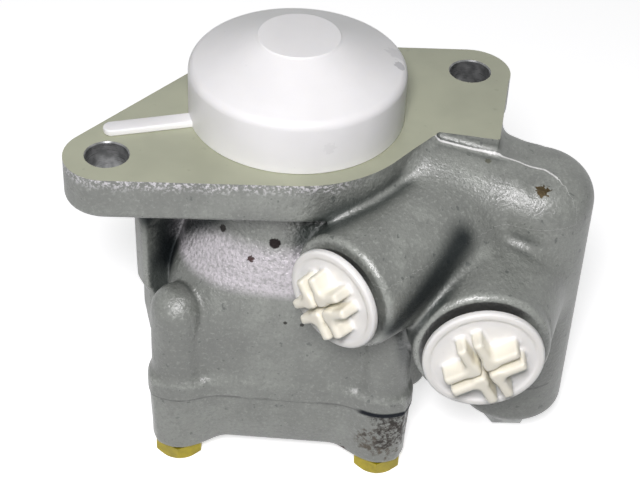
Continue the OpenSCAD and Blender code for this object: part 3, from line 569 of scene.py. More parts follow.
class Nodes:
    """The shader nodes of a material or a world, which is emptied first."""

    def __init__(self, owner):
        owner.use_nodes = True
        self.tree = owner.node_tree
        self.tree.nodes.clear()

    def node(self, kind, settings=None, inputs=None, out=0):
        """Adds a node: its settings first, then its inputs' values or links. An output node gives nothing back."""
        made = self.tree.nodes.new(kind)
        for key, value in (settings or {}).items():
            setattr(made, key, value)
        for key, value in (inputs or {}).items():
            if isinstance(value, Wire):
                self.tree.links.new(value.socket, made.inputs[key])
            else:
                made.inputs[key].default_value = value
        return Wire(self, made.outputs[out]) if made.outputs else None

    def vector(self, operation, first, second, out="Value"):
        """Vector maths on two vectors."""
        return self.node("ShaderNodeVectorMath", {"operation": operation}, {0: first, 1: second}, out)

    def length(self, vector):
        return self.vector("DISTANCE", vector, (0, 0, 0))

    def seen(self):
        """1 for the rays that show the background: from the camera, off gloss and through glass."""
        rays = [self.node("ShaderNodeLightPath", out=ray) for ray in SEEN_BY]
        return rays[0].most(rays[1]).most(rays[2])


class Finish(Nodes):
    """A material and the nodes that make it."""

    def __init__(self, name, colour):
        self.material = bpy.data.materials.new(name)
        super().__init__(self.material)
        self.colour = colour
        self.place = self.node("ShaderNodeTexCoord", out="Object")

    def noise(self, size, detail=3.0, roughness=0.5, stretch=None):
        """Cloudy pattern with features of about that size, in millimetres."""
        place = self.place
        if stretch:
            place = self.node("ShaderNodeMapping", None, {"Vector": place, "Scale": stretch}, "Vector")
        return self.node("ShaderNodeTexNoise", None, {
            "Vector": place, "Scale": 1 / (size * MM), "Detail": detail, "Roughness": roughness}, "Fac")

    def lay(self, share, colour):
        """Covers the colour so far with another: not at all where share is 0, fully where it is 1."""
        below = self.colour if isinstance(self.colour, Wire) else (*self.colour, 1)
        self.colour = self.node("ShaderNodeMix", {"data_type": "RGBA"}, {0: share, 6: below, 7: (*colour, 1)}, 2)

    def axis(self, name):
        return self.node("ShaderNodeSeparateXYZ", None, {0: self.place}, name)

    def note(self, name):
        return self.node("ShaderNodeAttribute", {"attribute_name": name}, None, "Fac")

    def spot(self, at, r, ragged=0.5):
        """A blot round a point, in millimetres, with a ragged edge."""
        away = self.vector("DISTANCE", self.place, tuple(MM * c for c in at))
        rag = self.noise(r * 0.5, 3.0) - 0.5
        return (away / (r * MM) + rag * (ragged * 2)).step(1.0, 0.75)

    def shade_under_disc(self, place, r):
        """The part of a port's face that lies under its plug, towards its top: painted shade in the gap behind the
        disc.
        """
        centre, out = place.translation * MM, place.col[2].to_3d()
        away = self.vector("SUBTRACT", self.place, tuple(centre), "Vector")
        height = self.vector("DOT_PRODUCT", away, tuple(out))
        side = self.vector("DOT_PRODUCT", away, (-0.6, 0.25, 0.76))
        ring = self.length(away).step(r * MM + 0.0003, r * MM - 0.0003) * abs(height).step(0.0012, 0.0006)
        return ring * side.step(-0.002, 0.006)

    def bump(self, height, depth, strength=1.0, under=None):
        """Normal of a height pattern whose full depth is in metres."""
        inputs = {"Height": height, "Distance": depth, "Strength": strength}
        if under is not None:
            inputs["Normal"] = under
        return self.node("ShaderNodeBump", None, inputs, "Normal")

    def surface(self, roughness, metallic, normal, **more):
        """Ends the material in a Principled surface."""
        inputs = {"Base Color": self.colour, "Roughness": roughness, "Metallic": metallic, "Normal": normal,
                  **{k.replace("_", " "): v for k, v in more.items()}}
        shader = self.node("ShaderNodeBsdfPrincipled", None, inputs, "BSDF")
        self.node("ShaderNodeOutputMaterial", None, {"Surface": shader})
        return self.material


def scaled(colour, share):
    """A colour made lighter or darker, as far as white."""
    return tuple(min(1, share * c) for c in colour)


def cast_finish(name, looks, marks=()):
    """Sand-cast aluminium: grained, mottled, rubbed on its edges, with painted shade in its hollows, on its
    undersides and along given lines, and a painted highlight on its peened shoulder.
    """
    light, dark = tuple(looks.colour), tuple(looks.dark)
    made = Finish(name, scaled(light, 0.64))
    patch = made.noise(34, 4.0, 0.6)
    cloud = made.noise(9, 4.0, 0.65)
    grit = made.noise(1.1, 3.0, 0.65)
    made.lay(patch.step(0.35, 0.68), light)
    made.lay(cloud.step(0.5, 0.75) * 0.55, scaled(light, 1.18))
    made.lay(cloud.step(0.47, 0.30) * 0.5, scaled(light, 0.5))
    made.lay(grit.step(0.50, 0.30) * 0.55, scaled(light, 0.55))
    made.lay(grit.step(0.52, 0.72) * 0.5, scaled(light, 1.45))
    hollow = made.note("hollow")
    # painted shade: the casting darkens the more hollow its form is
    made.lay((hollow + (cloud - 0.5) * 0.3).step(0.16, 0.62) * 0.9, dark)
    # painted shade: darker where the surface faces down
    made.lay((made.note("under") + (cloud - 0.5) * 0.2).step(0.15, 0.75) * 0.75, dark)
    ridge = made.note("ridge")
    rubbed = (ridge + (grit - 0.5) * 0.5).step(0.22, 0.6)
    made.lay(rubbed * 0.45, scaled(light, 1.45))
    flash = abs(made.note("parting")).step(0.5, 0.2)
    made.lay(flash * 0.8, (0.9, 0.9, 0.88))
    specks = made.noise(2.2, 2.0, 0.5).step(0.66, 0.73)
    made.lay(specks * 0.7, dark)
    flakes = (made.axis("Z") + (cloud - 0.5) * 0.006).step(-0.0045, -0.0008) * grit.step(0.48, 0.60)
    flakes = flakes * made.axis("X").step(0.008, -0.012)
    made.lay(flakes * 0.75, (0.78, 0.76, 0.79))
    # painted shade: near black along lines in the casting's corners; with the stains and the painted shadow below it
    # also sets roughness and metallic
    stains_and_shade = (made.note("painted_shade") + (cloud - 0.5) * 0.2).step(0.1, 0.9) * 0.92
    made.lay(stains_and_shade, (0.008, 0.012, 0.014))
    for tint, at, r, ragged, share in marks:
        blot = made.spot(at, r, ragged)
        if r > LARGE_STAIN:
            blot = blot * made.noise(1.7, 4.0, 0.7).step(0.40, 0.58)
        made.lay(blot * share, tint)
        stains_and_shade = stains_and_shade.most(blot * share)
    # painted shade in the gap between each port's face and its plug's disc
    for place, r in PORT_SHADES:
        made.lay(made.shade_under_disc(place, r) * 0.9, (0.02, 0.02, 0.02))
    seam = abs(made.axis("Z") - JOINT_Z * MM).step(0.0007, 0.0001) * made.noise(7, 2.0).step(0.42, 0.58)
    made.lay(seam * 0.8, (0.03, 0.03, 0.028))
    # painted shadow: near black along the joint under the right column's overhang
    joint_shadow = abs(made.axis("Z") - JOINT_Z * MM).step(0.0017, 0.0008) * made.spot((14, -53, JOINT_Z), 14, 0.1)
    made.lay(joint_shadow, (0.008, 0.01, 0.014))
    stains_and_shade = stains_and_shade.most(joint_shadow)
    roughness = 0.37 + stains_and_shade * 0.2 + (grit - 0.5) * 0.24 - rubbed * 0.1 + (cloud - 0.5) * 0.16
    radius = made.length(made.vector("MULTIPLY", made.place, (1, 1, 0), "Vector"))
    height = made.axis("Z")
    peened = radius.step(0.043, 0.039) * height.step(-0.047, -0.040) * height.step(-0.016, -0.020)
    shoulder_highlight = radius.step(0.043, 0.039) * height.step(-0.047, -0.043) * height.step(-0.027, -0.034)
    # painted highlight: a pale lilac band on the sloped shoulder where it catches the lamp; the coarser grain there
    # (peened) is a real bump
    made.lay(shoulder_highlight * (1 - stains_and_shade) * (grit.step(0.35, 0.6) * 0.5 + 0.45), (0.60, 0.57, 0.60))
    normal = made.bump(made.noise(4.5, 2.0), 0.0006, 0.4)
    normal = made.bump(made.noise(1.5, 2.0, 0.5) * (peened * 0.8 + 0.2), 0.0007, 0.8, normal)
    normal = made.bump(grit, looks.grain, 1.0, normal)
    return made.surface(roughness, 0.06 + stains_and_shade * 0.9, normal, Specular_IOR_Level=1.0)


def milled_finish(name, looks):
    """Face-milled aluminium: pale, fine crossing tool marks, a few scratches."""
    base = tuple(looks.milled)
    made = Finish(name, scaled(base, 0.9))
    patch = made.noise(28, 3.0, 0.55)
    lines = made.noise(0.5, 2.0, 0.5, (0.02, 1, 1))
    made.lay(patch.step(0.3, 0.7), scaled(base, 1.06))
    made.lay(made.noise(3, 3.0).step(0.66, 0.75) * 0.35, scaled(base, 0.62))
    for at in ((-51.9, -13.4, 0), (-50.4, -13.9, 0)):
        from_mark = made.node("ShaderNodeMapping", None, {
            "Vector": made.place, "Location": tuple(-MM * c for c in at), "Scale": (0.32, 1.6, 1)}, "Vector")
        made.lay(made.length(from_mark).step(0.0006, 0.0003) * 0.9, (0.85, 0.85, 0.82))
    roughness = 0.36 + (lines - 0.5) * 0.16 + (patch - 0.5) * 0.12
    return made.surface(roughness, 0.08, made.bump(lines, 0.00002, 0.5))


def bored_finish(name):
    """Bored metal with turning marks along the bore."""
    made = Finish(name, (0.13, 0.135, 0.135))
    rings = made.noise(0.4, 2.0, 0.5, (0.1, 0.1, 1))
    made.lay(made.noise(3, 3.0).step(0.3, 0.7), (0.26, 0.265, 0.265))
    return made.surface(0.30 + (rings - 0.5) * 0.2, 0.6, made.bump(rings, 0.00003, 0.6))


def metal_finish(name, colour, roughness, metallic=1.0, mark=0.25, patch_size=6):
    """Machined or plated metal with fine marks and uneven tarnish."""
    made = Finish(name, scaled(colour, 1 - mark))
    patch = made.noise(patch_size, 4.0, 0.6)
    fine = made.noise(0.35, 2.0, 0.5)
    made.lay(patch.step(0.35, 0.65), colour)
    made.lay(made.noise(1.6, 2.0).step(0.66, 0.74) * mark, scaled(colour, 0.3))
    return made.surface(roughness + (patch - 0.5) * 0.18 + (fine - 0.5) * 0.1, metallic,
                        made.bump(fine, 0.00003, 0.5))


def rubber_finish(name):
    """Black rubber with a dusty bloom."""
    made = Finish(name, (0.018, 0.018, 0.019))
    bloom = made.noise(5, 4.0, 0.6)
    made.lay(bloom.step(0.45, 0.75), (0.05, 0.05, 0.05))
    return made.surface(0.55 + (bloom - 0.5) * 0.3, 0.0, made.bump(made.noise(0.5), 0.00004, 0.5))


def plastic_finish(name, colour, rib=None, marks=()):
    """Moulded polyethylene: faintly cloudy, waxy, with handling marks."""
    made = Finish(name, scaled(colour, 0.965))
    cloud = made.noise(16, 3.0, 0.5)
    fine = made.noise(0.9, 2.0)
    made.lay(cloud.step(0.3, 0.7), colour)
    if rib is not None:
        made.lay(made.note("rib"), rib)
    made.lay(made.noise(1.3, 2.0).step(0.72, 0.8) * 0.25, scaled(colour, 0.7))
    for tint, at, r, ragged, share in marks:
        made.lay(made.spot(at, r, ragged) * share, tint)
    roughness = 0.36 + (cloud - 0.5) * 0.16 + (fine - 0.5) * 0.08
    return made.surface(roughness, 0.0, made.bump(fine, 0.00003, 0.35),
                        Subsurface_Weight=0.25, Subsurface_Radius=(1.0, 0.95, 0.85), Subsurface_Scale=0.0015)


# Outlines of the castings


def flange_outline():
    """Two round ends joined by tangents to a round middle."""
    turn = math.degrees(math.acos((FLANGE_R - LUG_R) / HOLE_PLACE))
    return (arc((HOLE_PLACE, 0), LUG_R, -turn, turn, 24) + arc((0, 0), FLANGE_R, turn, 180 - turn, 24)
            + arc((-HOLE_PLACE, 0), LUG_R, 180 - turn, 180 + turn, 24)
            + arc((0, 0), FLANGE_R, 180 + turn, 360 - turn, 24))


def square_side_outline():
    """Squared side of the flange, in the tower's frame."""
    along = HOLE_PLACE * math.cos(TOWER_TURN) + LUG_R - 0.4
    across = -HOLE_PLACE * math.sin(TOWER_TURN)
    return [(0, -SQUARE_SIDE), (along, -SQUARE_SIDE), (along, across), (0, across)]


def bolt_places():
    return [polar(BOLT_CIRCLE, BOLT_TURN + i * math.pi / 2) for i in range(4)]


def port_frame(along, reach, depth, turn):
    """Frame of a port, with z pointing out of it."""
    return (Matrix.Rotation(TOWER_TURN, 4, "Z") @ Matrix.Translation((along, -reach, -depth))
            @ Matrix.Rotation(math.radians(turn), 4, "Z") @ Matrix.Rotation(math.pi / 2, 4, "X"))


UPPER_REACH, UPPER_TURN = 48.3, 32
LOWER_REACH, LOWER_TURN = 45.0, 11
UPPER_PORT = port_frame(23.7, UPPER_REACH, 30.4, -UPPER_TURN)
LOWER_PORT = port_frame(67.5, LOWER_REACH, 48.0, LOWER_TURN)
LOWER_ROOT = port_frame(67.5, LOWER_REACH, 48.0, -2)
UPPER_LEN = UPPER_REACH / math.cos(math.radians(UPPER_TURN))
LOWER_LEN = LOWER_REACH / math.cos(math.radians(LOWER_TURN))
UPPER_FACE_R, LOWER_FACE_R = 18.8, 21.2
BOSS_ROOT_R = 24.0
ROOT_BACK = 9.0
# Ports and the radius of the painted shade under their plugs
PORT_SHADES = ((UPPER_PORT, 15.0), (LOWER_PORT, 19.4))


def boss(grid, place, face_r, root_r, length, lip, setback=0.0):
    """Tapered round boss with a rounded lip, its face on a port frame."""
    inverse = place.inverted()
    rows = [sum(np.float32(inverse[i][j]) * c for j, c in enumerate((grid.x, grid.y, grid.z)))
            + np.float32(inverse[i][3]) for i in range(3)]
    out = rows[2] + setback
    taper = math.atan2(root_r - face_r, length)
    side = (np.hypot(rows[0], rows[1]) - face_r + out * math.tan(taper)) * math.cos(taper)
    return common(side, between(out, -length, 0), lip)


def square_body(grid, flat, turn):
    """Distance to four flat sides about the shaft."""
    u, v = turned(grid.x, grid.y, turn)
    return np.maximum(np.abs(u), np.abs(v)) - flat


def columns(grid, r, top, low=None, edge=0.0):
    """Four round columns on the bolt circle, domed at the top or cut off flat."""
    forms = []
    for x, y in bolt_places():
        across = (grid.x - x) ** 2 + (grid.y - y) ** 2
        if low is None:
            column = np.sqrt(across + np.maximum(grid.z - top, 0) ** 2) - r
            forms.append(np.maximum(column, JOINT_Z - STOCK - grid.z))
        else:
            forms.append(common(np.sqrt(across) - r, between(grid.z, low, top), edge))
    return np.minimum.reduce(np.broadcast_arrays(*forms))


def parting_distance(u, v):
    """Distance to the parting line on the tower's top, negative on the near side."""
    line = [(33.8, -3.4), (55.3, -3.0), (71.1, -2.1), (79.0, -3.4), (83.0, -6.5)]
    best = np.full(np.broadcast(u, v).shape, np.inf, np.float32)
    for start, end in zip(line, line[1:]):
        away = np.hypot(*from_segment(u, v, start, end))
        side = np.sign((v - start[1]) * (end[0] - start[0]) - (u - start[0]) * (end[1] - start[1]))
        best = np.where(away < np.abs(best), side * away, best)
    return best


def housing_form(grid, looks):
    """The housing's casting, before it is machined."""
    x, y, z = grid.x, grid.y, grid.z
    fillet, edge, beside = looks.fillet / MM, looks.edge / MM, looks.column_fillet / MM
    u, v = turned(x, y, TOWER_TURN)
    radius = np.hypot(x, y)
    # Flat-sided body that slopes up to a round neck
    slope = math.atan2(HIP_R - SHOULDER_R, SHOULDER_H)
    shoulder = np.minimum(
        (radius - SHOULDER_R + (z - SHOULDER_Z) * math.tan(slope)) * math.cos(slope), radius - NECK_R)
    fall = math.atan2(CORNER_R - HIP_R, SHOULDER_H)
    corner = (radius - HIP_R + (z - HIP_Z) * math.tan(fall)) * math.cos(fall)
    core = common(square_body(grid, BODY_FLAT, BODY_TURN), between(z, JOINT_Z - STOCK, -FLANGE_T + 2), 1.0)
    core = common(core, np.where(z > HIP_Z, shoulder, corner), 7.0)
    form = union(core, columns(grid, COLUMN_R, COLUMN_TOP), beside)
    lobe = common(np.hypot(u - LOBE_PLACE, v) - LOBE_R, between(z, JOINT_Z - STOCK, JOINT_Z / 2), edge)
    form = union(form, lobe, fillet)
    rim = np.minimum(square_body(grid, BODY_FLAT + 0.1, BODY_TURN), np.hypot(u - LOBE_PLACE, v) - LOBE_R - 0.3)
    bosses = np.minimum.reduce([np.hypot(x - a, y - b) for a, b in bolt_places()]) - COLUMN_R - RIM_OUT
    rim = union(rim, bosses, looks.cover_fillet / MM)
    rim = common(rim, between(z, JOINT_Z - STOCK, JOINT_Z + RIM_H), 2.0)
    form = union(form, rim, 2.5)
    # Rib under the free lug
    rib = outline_distance(x, z, [
        (-16, -13.5), (-49.8, -13.5), (-48.8, -63), (-46.8, -67), (-46.8, -75), (-44.5, JOINT_Z - STOCK),
        (-16, JOINT_Z - STOCK)])
    form = union(form, common(rib, between(y, 8, 17), edge), fillet * 0.3)
    # Tower and its web
    back_x = VALVE_PLACE + WEB_HALF * math.sin(WEB_SPREAD) - 1
    back_y = WEB_HALF * math.cos(WEB_SPREAD)
    web = outline_distance(u, v, [
        (0, -WEB_HALF), (VALVE_PLACE, -WEB_HALF), (back_x, back_y), (0, back_y + back_x * math.tan(WEB_SPREAD))])
    top = (z - TOWER_TOP + u * math.tan(TOWER_SLOPE)) * math.cos(TOWER_SLOPE)
    web = common(common(web, WEB_LOW - z, edge), top, TOWER_ROUND)
    high = TOWER_TOP - VALVE_PLACE * math.tan(TOWER_SLOPE)
    around = np.hypot(u - VALVE_PLACE, v) - TOWER_R
    tower = common(common(around, z - high, TOWER_ROUND), TOWER_FOOT - z, 4.0)
    tower = union(web, tower, 2.0)
    # Bosses
    upper = boss(grid, UPPER_PORT, UPPER_FACE_R, BOSS_ROOT_R, UPPER_LEN, edge)
    lower = boss(grid, LOWER_PORT, LOWER_FACE_R, BOSS_ROOT_R, LOWER_LEN, edge)
    root = boss(grid, LOWER_ROOT, LOWER_FACE_R - 1, BOSS_ROOT_R, LOWER_REACH - ROOT_BACK, edge, ROOT_BACK)
    tower = union(tower, np.minimum(lower, root), fillet)
    tower = union(tower, upper, fillet)
    form = union(form, tower, fillet)
    # Flange, its top left high for the mill
    flat = np.minimum(outline_distance(x, y, flange_outline()), outline_distance(u, v, square_side_outline()))
    flange = common(flat, between(z, -FLANGE_T, 12), edge * 1.1)
    form = union(form, flange, fillet)
    # Parting line along the tower's top
    strip = np.abs(parting_distance(u, v)) - 0.6
    return union(form, common(np.maximum(strip, PARTING_LOW - z), form - 0.45, 0.2), 0.3)


def cover_form(grid, looks):
    """The cover's casting, before it is machined."""
    x, y, z = grid.x, grid.y, grid.z
    u, v = turned(x, y, TOWER_TURN)
    edge, beside = looks.edge / MM, looks.cover_fillet / MM
    flat = square_body(grid, BODY_FLAT - 0.5, BODY_TURN)
    lean = math.atan2(COVER_BEVEL, COVER_BEVEL_H)
    bevel = (flat + (FOOT_Z + COVER_BEVEL_H - z) * math.tan(lean)) * math.cos(lean)
    core = common(common(flat, bevel, 2.0), between(z, FOOT_Z + 0.8, JOINT_Z + STOCK), edge)
    lobe = common(np.hypot(u - LOBE_PLACE, v) - LOBE_R, between(z, FOOT_Z + COVER_BEVEL_H, JOINT_Z + STOCK), edge)
    core = union(core, lobe, 2.0)
    return union(core, columns(grid, COLUMN_R + 0.2, JOINT_Z + STOCK, FOOT_Z, edge * 0.75), beside)


def machined_box(low, high):
    """Block whose faces mill a casting to its height."""
    side = 200
    return prism("mill", [(-side, -side), (side, -side), (side, side), (-side, side)], low, high, MILLED)


def bore(made, name, profile, place=None, sides=72):
    """Cuts a casting with a turned tool."""
    combine(made, revolved(name, profile, place, sides, BORED))


def port_bore(made, place, bore_r, length):
    """Cuts a port's bore, with a drill point and a gallery behind it."""
    bore(made, "port", [
        (0, 2), (bore_r, 2), (bore_r, -PORT_DEPTH), (GALLERY_R, -PORT_DEPTH - bore_r + GALLERY_R),
        (GALLERY_R, -length), (0, -length)], place)


MILL_R = 58.9
THREAD_R = 5.02
DRILL_R = 5.3
BEARING_R = 23.52
SHAFT_BORE = [
    (0, 8), (24.5, 8), (24.5, 6.5), (BEARING_R, 5.5), (BEARING_R, -3.35), (24.62, -3.35), (24.62, -5.05),
    (BEARING_R, -5.05), (BEARING_R, -19), (21, -19), (14, -21), (14, CHAMBER_ROOF), (CHAMBER_R, CHAMBER_ROOF),
    (CHAMBER_R, -90), (0, -90)]
VALVE_BORE = [(0, -26), (7.54, -26), (7.54, -88), (9.02, -88.95), (9.02, -106), (0, -106)]


class PUMP_OT_housing(bpy.types.Operator):
    """Casts the housing, then mills, bores and drills it"""

    bl_idname = "pump.housing"
    bl_label = "Housing"

    def execute(self, context):
        looks = context.scene.pump_casting
        grid = Grid((-80, -86, -108), (86, 60, 12), looks.grid / MM)
        form = housing_form(grid, looks).astype(np.float32)
        form = np.maximum(form, grid.z - STOCK)
        made = thinned(faced_out(mesh_object("pump_housing", *grid.skin(form))), looks.triangles)
        combine(made, machined_box(FAR_BELOW, 0), "INTERSECT")
        return_foot(made)
        combine(made, revolved("spigot", [(0, -2), (SPIGOT_R, -2), (SPIGOT_R, SPIGOT_H - 1), (SPIGOT_R - 1, SPIGOT_H),
                                          (0, SPIGOT_H)], sides=128, finish=BORED), "UNION")
        bore(made, "shaft bore", SHAFT_BORE, sides=128)
        valve = Matrix.Rotation(TOWER_TURN, 4, "Z") @ Matrix.Translation((VALVE_PLACE, 0, 0))
        bore(made, "valve bore", VALVE_BORE, valve)
        for side in (-1, 1):
            bore(made, "hole", [
                (0, 2), (HOLE_R + HOLE_CHAMFER + 2, 2), (HOLE_R, -HOLE_CHAMFER), (HOLE_R, -20), (0, -20)],
                Matrix.Translation((side * HOLE_PLACE, 0, 0)))
        port_bore(made, UPPER_PORT, 10.2, UPPER_LEN)
        port_bore(made, LOWER_PORT, 12.2, LOWER_LEN - GALLERY_R)
        for x, y in bolt_places():
            bore(made, "thread", [(0, -92), (THREAD_R, -92), (THREAD_R, JOINT_Z + 25), (0, JOINT_Z + 27)],
                 Matrix.Translation((x, y, 0)), 32)
        points = form_notes(made, grid, form)
        parting = parting_distance(*turned(points[:, 0], points[:, 1], TOWER_TURN))
        parting = np.clip(parting, -NO_PARTING, NO_PARTING)
        note(made, "parting", np.where(points[:, 2] > PARTING_LOW, parting, NO_PARTING))
        # painted shade along lines in the casting's corners, darkest on them
        note(made, "painted_shade", np.max([nearness(points, line, reach) for reach, line in HOUSING_SHADE_LINES], axis=0))
        finished(made, "pump_body", "cast_body", ["housing"], cast_finish("cast aluminium", looks, HOUSING_MARKS),
                 milled_finish("milled aluminium", looks), bored_finish("bored aluminium"))
        return {"FINISHED"}


def return_foot(made):
    """Mills the joint face of the housing, leaving the tower's foot as long as it was cast."""
    combine(made, prism("joint mill", arc((0, 0), MILL_R, 0, 360, 95)[:-1], FAR_BELOW, JOINT_Z, MILLED))


# Painted shade in the casting's corners, along the valley between the bosses, in the recess behind the neck and on
# the neck under the flange: how far it reaches, and the line it follows
HOUSING_SHADE_LINES = (
    (10.0, ((29.6, -56.5, -19.0), (19.7, -61.8, -24.0), (13.1, -65.1, -27.2), (6.9, -67.8, -30.9),
            (2.0, -69.4, -34.6))),
    (10.0, ((-47.3, 8.0, -34.0), (-41.2, 8.0, -36.0), (-40.4, 8.0, -52.0))),
    (7.0, ((-36.2, 3.0, -36.9), (-33.4, -6.9, -28.9), (-29.5, -13.4, -22.0))),
)
# Stains and pits: colour, place, radius, how ragged, how strong
HOUSING_MARKS = (
    ((0.02, 0.018, 0.016), (-29.9, -12.4, -28.7), 1.4, 0.4, 0.95),
    ((0.02, 0.016, 0.016), (-18.3, -26.2, -28.0), 2.1, 0.3, 1.0),
    ((0.03, 0.006, 0.006), (-25.2, -23.7, -34.1), 1.2, 1.2, 0.95),
    ((0.045, 0.03, 0.01), (58.0, -55.1, -9.5), 2.2, 1.2, 0.95),
    ((0.02, 0.018, 0.016), (-17.8, -34.5, -54.3), 0.7, 0.5, 0.9),
    ((0.02, 0.018, 0.016), (-13.1, -37.0, -54.7), 0.8, 0.5, 0.9),
    ((0.08, 0.075, 0.035), (46.8, -40.0, -5.4), 1.2, 0.8, 0.6),
)
COVER_MARKS = (
    ((0.05, 0.032, 0.018), (11.0, -54.5, -99.0), 10.0, 0.8, 0.8),
    ((0.025, 0.022, 0.02), (13.5, -54.5, -95.0), 10.0, 0.8, 0.9),
    ((0.04, 0.02, 0.018), (2.7, -42.3, -110.0), 2.6, 1.2, 0.9),
)


class PUMP_OT_cover(bpy.types.Operator):
    """Casts the rear cover, then mills and drills it"""

    bl_idname = "pump.cover"
    bl_label = "Rear cover"

    def execute(self, context):
        looks = context.scene.pump_casting
        grid = Grid((-66, -66, -116), (66, 66, -80), looks.grid / MM)
        form = cover_form(grid, looks).astype(np.float32)
        form = np.maximum(form, grid.z - JOINT_Z - STOCK / 2)
        made = thinned(faced_out(mesh_object("pump_cover", *grid.skin(form))), looks.triangles // 3)
        combine(made, machined_box(FAR_BELOW, JOINT_Z), "INTERSECT")
        bush_r, bush_end, hub_r, rim_r = 10.02, -103.5, 15.0, BODY_FLAT - COVER_BEVEL - 5
        top, low, roof = -80, -120, FOOT_Z + 4
        bore(made, "bush bore", [(0, top), (bush_r, top), (bush_r, bush_end), (0, bush_end)])
        pocket = revolved("pocket", [(0, low), (rim_r, low), (rim_r - 1, roof), (0, roof)], sides=96)
        combine(pocket, revolved("hub", [(0, low - 5), (hub_r, low - 5), (hub_r + 1, -100), (0, -100)], sides=96))
        combine(made, pocket)
        for x, y in bolt_places():
            bore(made, "drill", [(0, low), (DRILL_R, low), (DRILL_R, top), (0, top)],
                 Matrix.Translation((x, y, 0)), 32)
        points = form_notes(made, grid, form)
        note(made, "parting", np.full(len(points), NO_PARTING))
        note(made, "painted_shade", np.zeros(len(points)))
        finished(made, "pump_body", "cast_body", ["rear_cover"], cast_finish("cast cover", looks, COVER_MARKS),
                 milled_finish("milled cover", looks), bored_finish("bored cover"))
        return {"FINISHED"}


class PUMP_OT_cap(bpy.types.Operator):
    """Moulds the white cap over the drive end, with its pull tab"""

    bl_idname = "pump.cap"
    bl_label = "Cap"

    def execute(self, context):
        looks = context.scene.pump_closures
        outer_r, wall, side, high, edge, disc_r, step = 33.8, 2.45, 18.6, 27.6, 3.5, 12.9, 0.5
        rise = math.degrees(math.atan2(high - side, outer_r - disc_r))
        centre = (outer_r - edge, side - edge)
        inner_r, soft = outer_r - wall, 0.4
        inside = [(0, high - wall), (disc_r - wall, high - wall), (inner_r, side - edge - wall / 2), (inner_r, soft),
                  (inner_r + soft, 0)]
        foot = arc((outer_r - 0.5, 0.5), 0.5, -90, 0, 6)
        flank = arc(centre, edge, 0, 90 - rise, 16)
        ledge = [(disc_r + 0.5, high - step - 0.15), (disc_r + 0.1, high - step + 0.1)]
        crown = arc((disc_r - 0.35, high - 0.35), 0.35, 15, 90, 6) + [(0, high)]
        made = revolved("pump_cap", inside + foot + flank + ledge + crown, sides=160)
        reach, half, thick = 58.0, 2.7, 2.2
        outline = [(outer_r - 1.2, half), (outer_r - 1.2, -half)] + arc((reach, 0), half, -90, 90, 20)
        tab = prism("tab", outline, 0, thick)
        work = bmesh.new()
        work.from_mesh(tab.data)
        bmesh.ops.bevel(work, geom=[e for e in work.edges if abs(e.verts[0].co.z - e.verts[1].co.z) < 1e-6],
                        offset=0.55, segments=3, profile=0.5, affect="EDGES")
        work.to_mesh(tab.data)
        work.free()
        tab.data.transform(Matrix.Rotation(math.radians(169.5), 4, "Z"))
        combine(made, tab, "UNION")
        marks = (((0.33, 0.33, 0.35), (27.6, -14.3, 18.6), 2.2, 0.5, 0.55),
                 ((0.55, 0.55, 0.57), (29.5, -8.0, 17.8), 4.0, 0.9, 0.4),
                 ((0.60, 0.60, 0.60), (-5.0, -33.6, 9.0), 2.0, 1.0, 0.25))
        finished(made, "cap", "white_plastic", ["protective_cap"],
                 plastic_finish("white plastic", tuple(looks.cap_colour), marks=marks), sharp=40)
        return {"FINISHED"}


PLUG_TRIANGLES = 70000


class PUMP_OT_plugs(bpy.types.Operator):
    """Moulds the two port plugs with their crossed grips"""

    bl_idname = "pump.plugs"
    bl_label = "Port plugs"

    def execute(self, context):
        looks = context.scene.pump_closures
        finish = plastic_finish("ivory plastic", tuple(looks.plug_colour), tuple(looks.rib_colour))
        self.plug("pump_upper_plug", "upper", UPPER_PORT, (16.4, 9.9, 2.3, 10.4, 37), looks, finish)
        self.plug("pump_lower_plug", "lower", LOWER_PORT, (18.7, 11.9, 2.4, 12.4, 30), looks, finish)
        return {"FINISHED"}

    def plug(self, name, which, place, sizes, looks, finish):
        disc_r, shank_r, stand_off, reach, turn = sizes
        edge, disc_h, rib_h, rib_t, slot, wall, length = looks.edge / MM, 2.6, 6.4, 3.5, 1.8, 2.0, 13.0
        half = disc_r + 1.5
        grid = Grid((-half, -half, -length - 1.5), (half, half, stand_off + disc_h + rib_h + 1.5), looks.grid / MM)
        radius = np.hypot(grid.x, grid.y)
        top = stand_off + disc_h
        disc = common(radius - disc_r, between(grid.z, stand_off, top), edge)
        dish = common(radius - disc_r + 2.4, top - 0.5 - grid.z, 0.4)
        disc = common(disc, -dish, 0.5)
        shank = common(radius - shank_r, between(grid.z, -length, stand_off + 1), 0.5)
        shank = common(shank, shank_r - wall - radius, 0.3)
        u, v = turned(grid.x, grid.y, math.radians(turn))
        arms = np.full(np.broadcast(u, v).shape, np.inf, np.float32)
        for _ in range(4):
            u, v = v, -u
            pair = [common(between(a, slot / 2, reach), between(b, slot / 2, slot / 2 + rib_t), 1.1)
                    for a, b in ((u, v), (v, u))]
            arms = np.minimum(arms, union(*pair, 1.8))
        taper = (grid.z - top) * 0.04
        ribs = common(arms + taper, between(grid.z, top - 1, top + rib_h), edge * 1.6)
        form = union(union(disc, ribs, 1.0), shank, 0.5).astype(np.float32)
        made = thinned(faced_out(mesh_object(name, *grid.skin(form))), PLUG_TRIANGLES)
        height = np.array([v.co.z for v in made.data.vertices])
        note(made, "rib", np.clip((height - top + 0.2) / 1.6, 0, 1))
        made.data.transform(place)
        finished(made, f"{which}_plug", "ivory_plastic", [f"{which}_port_plug"], finish, sharp=180)


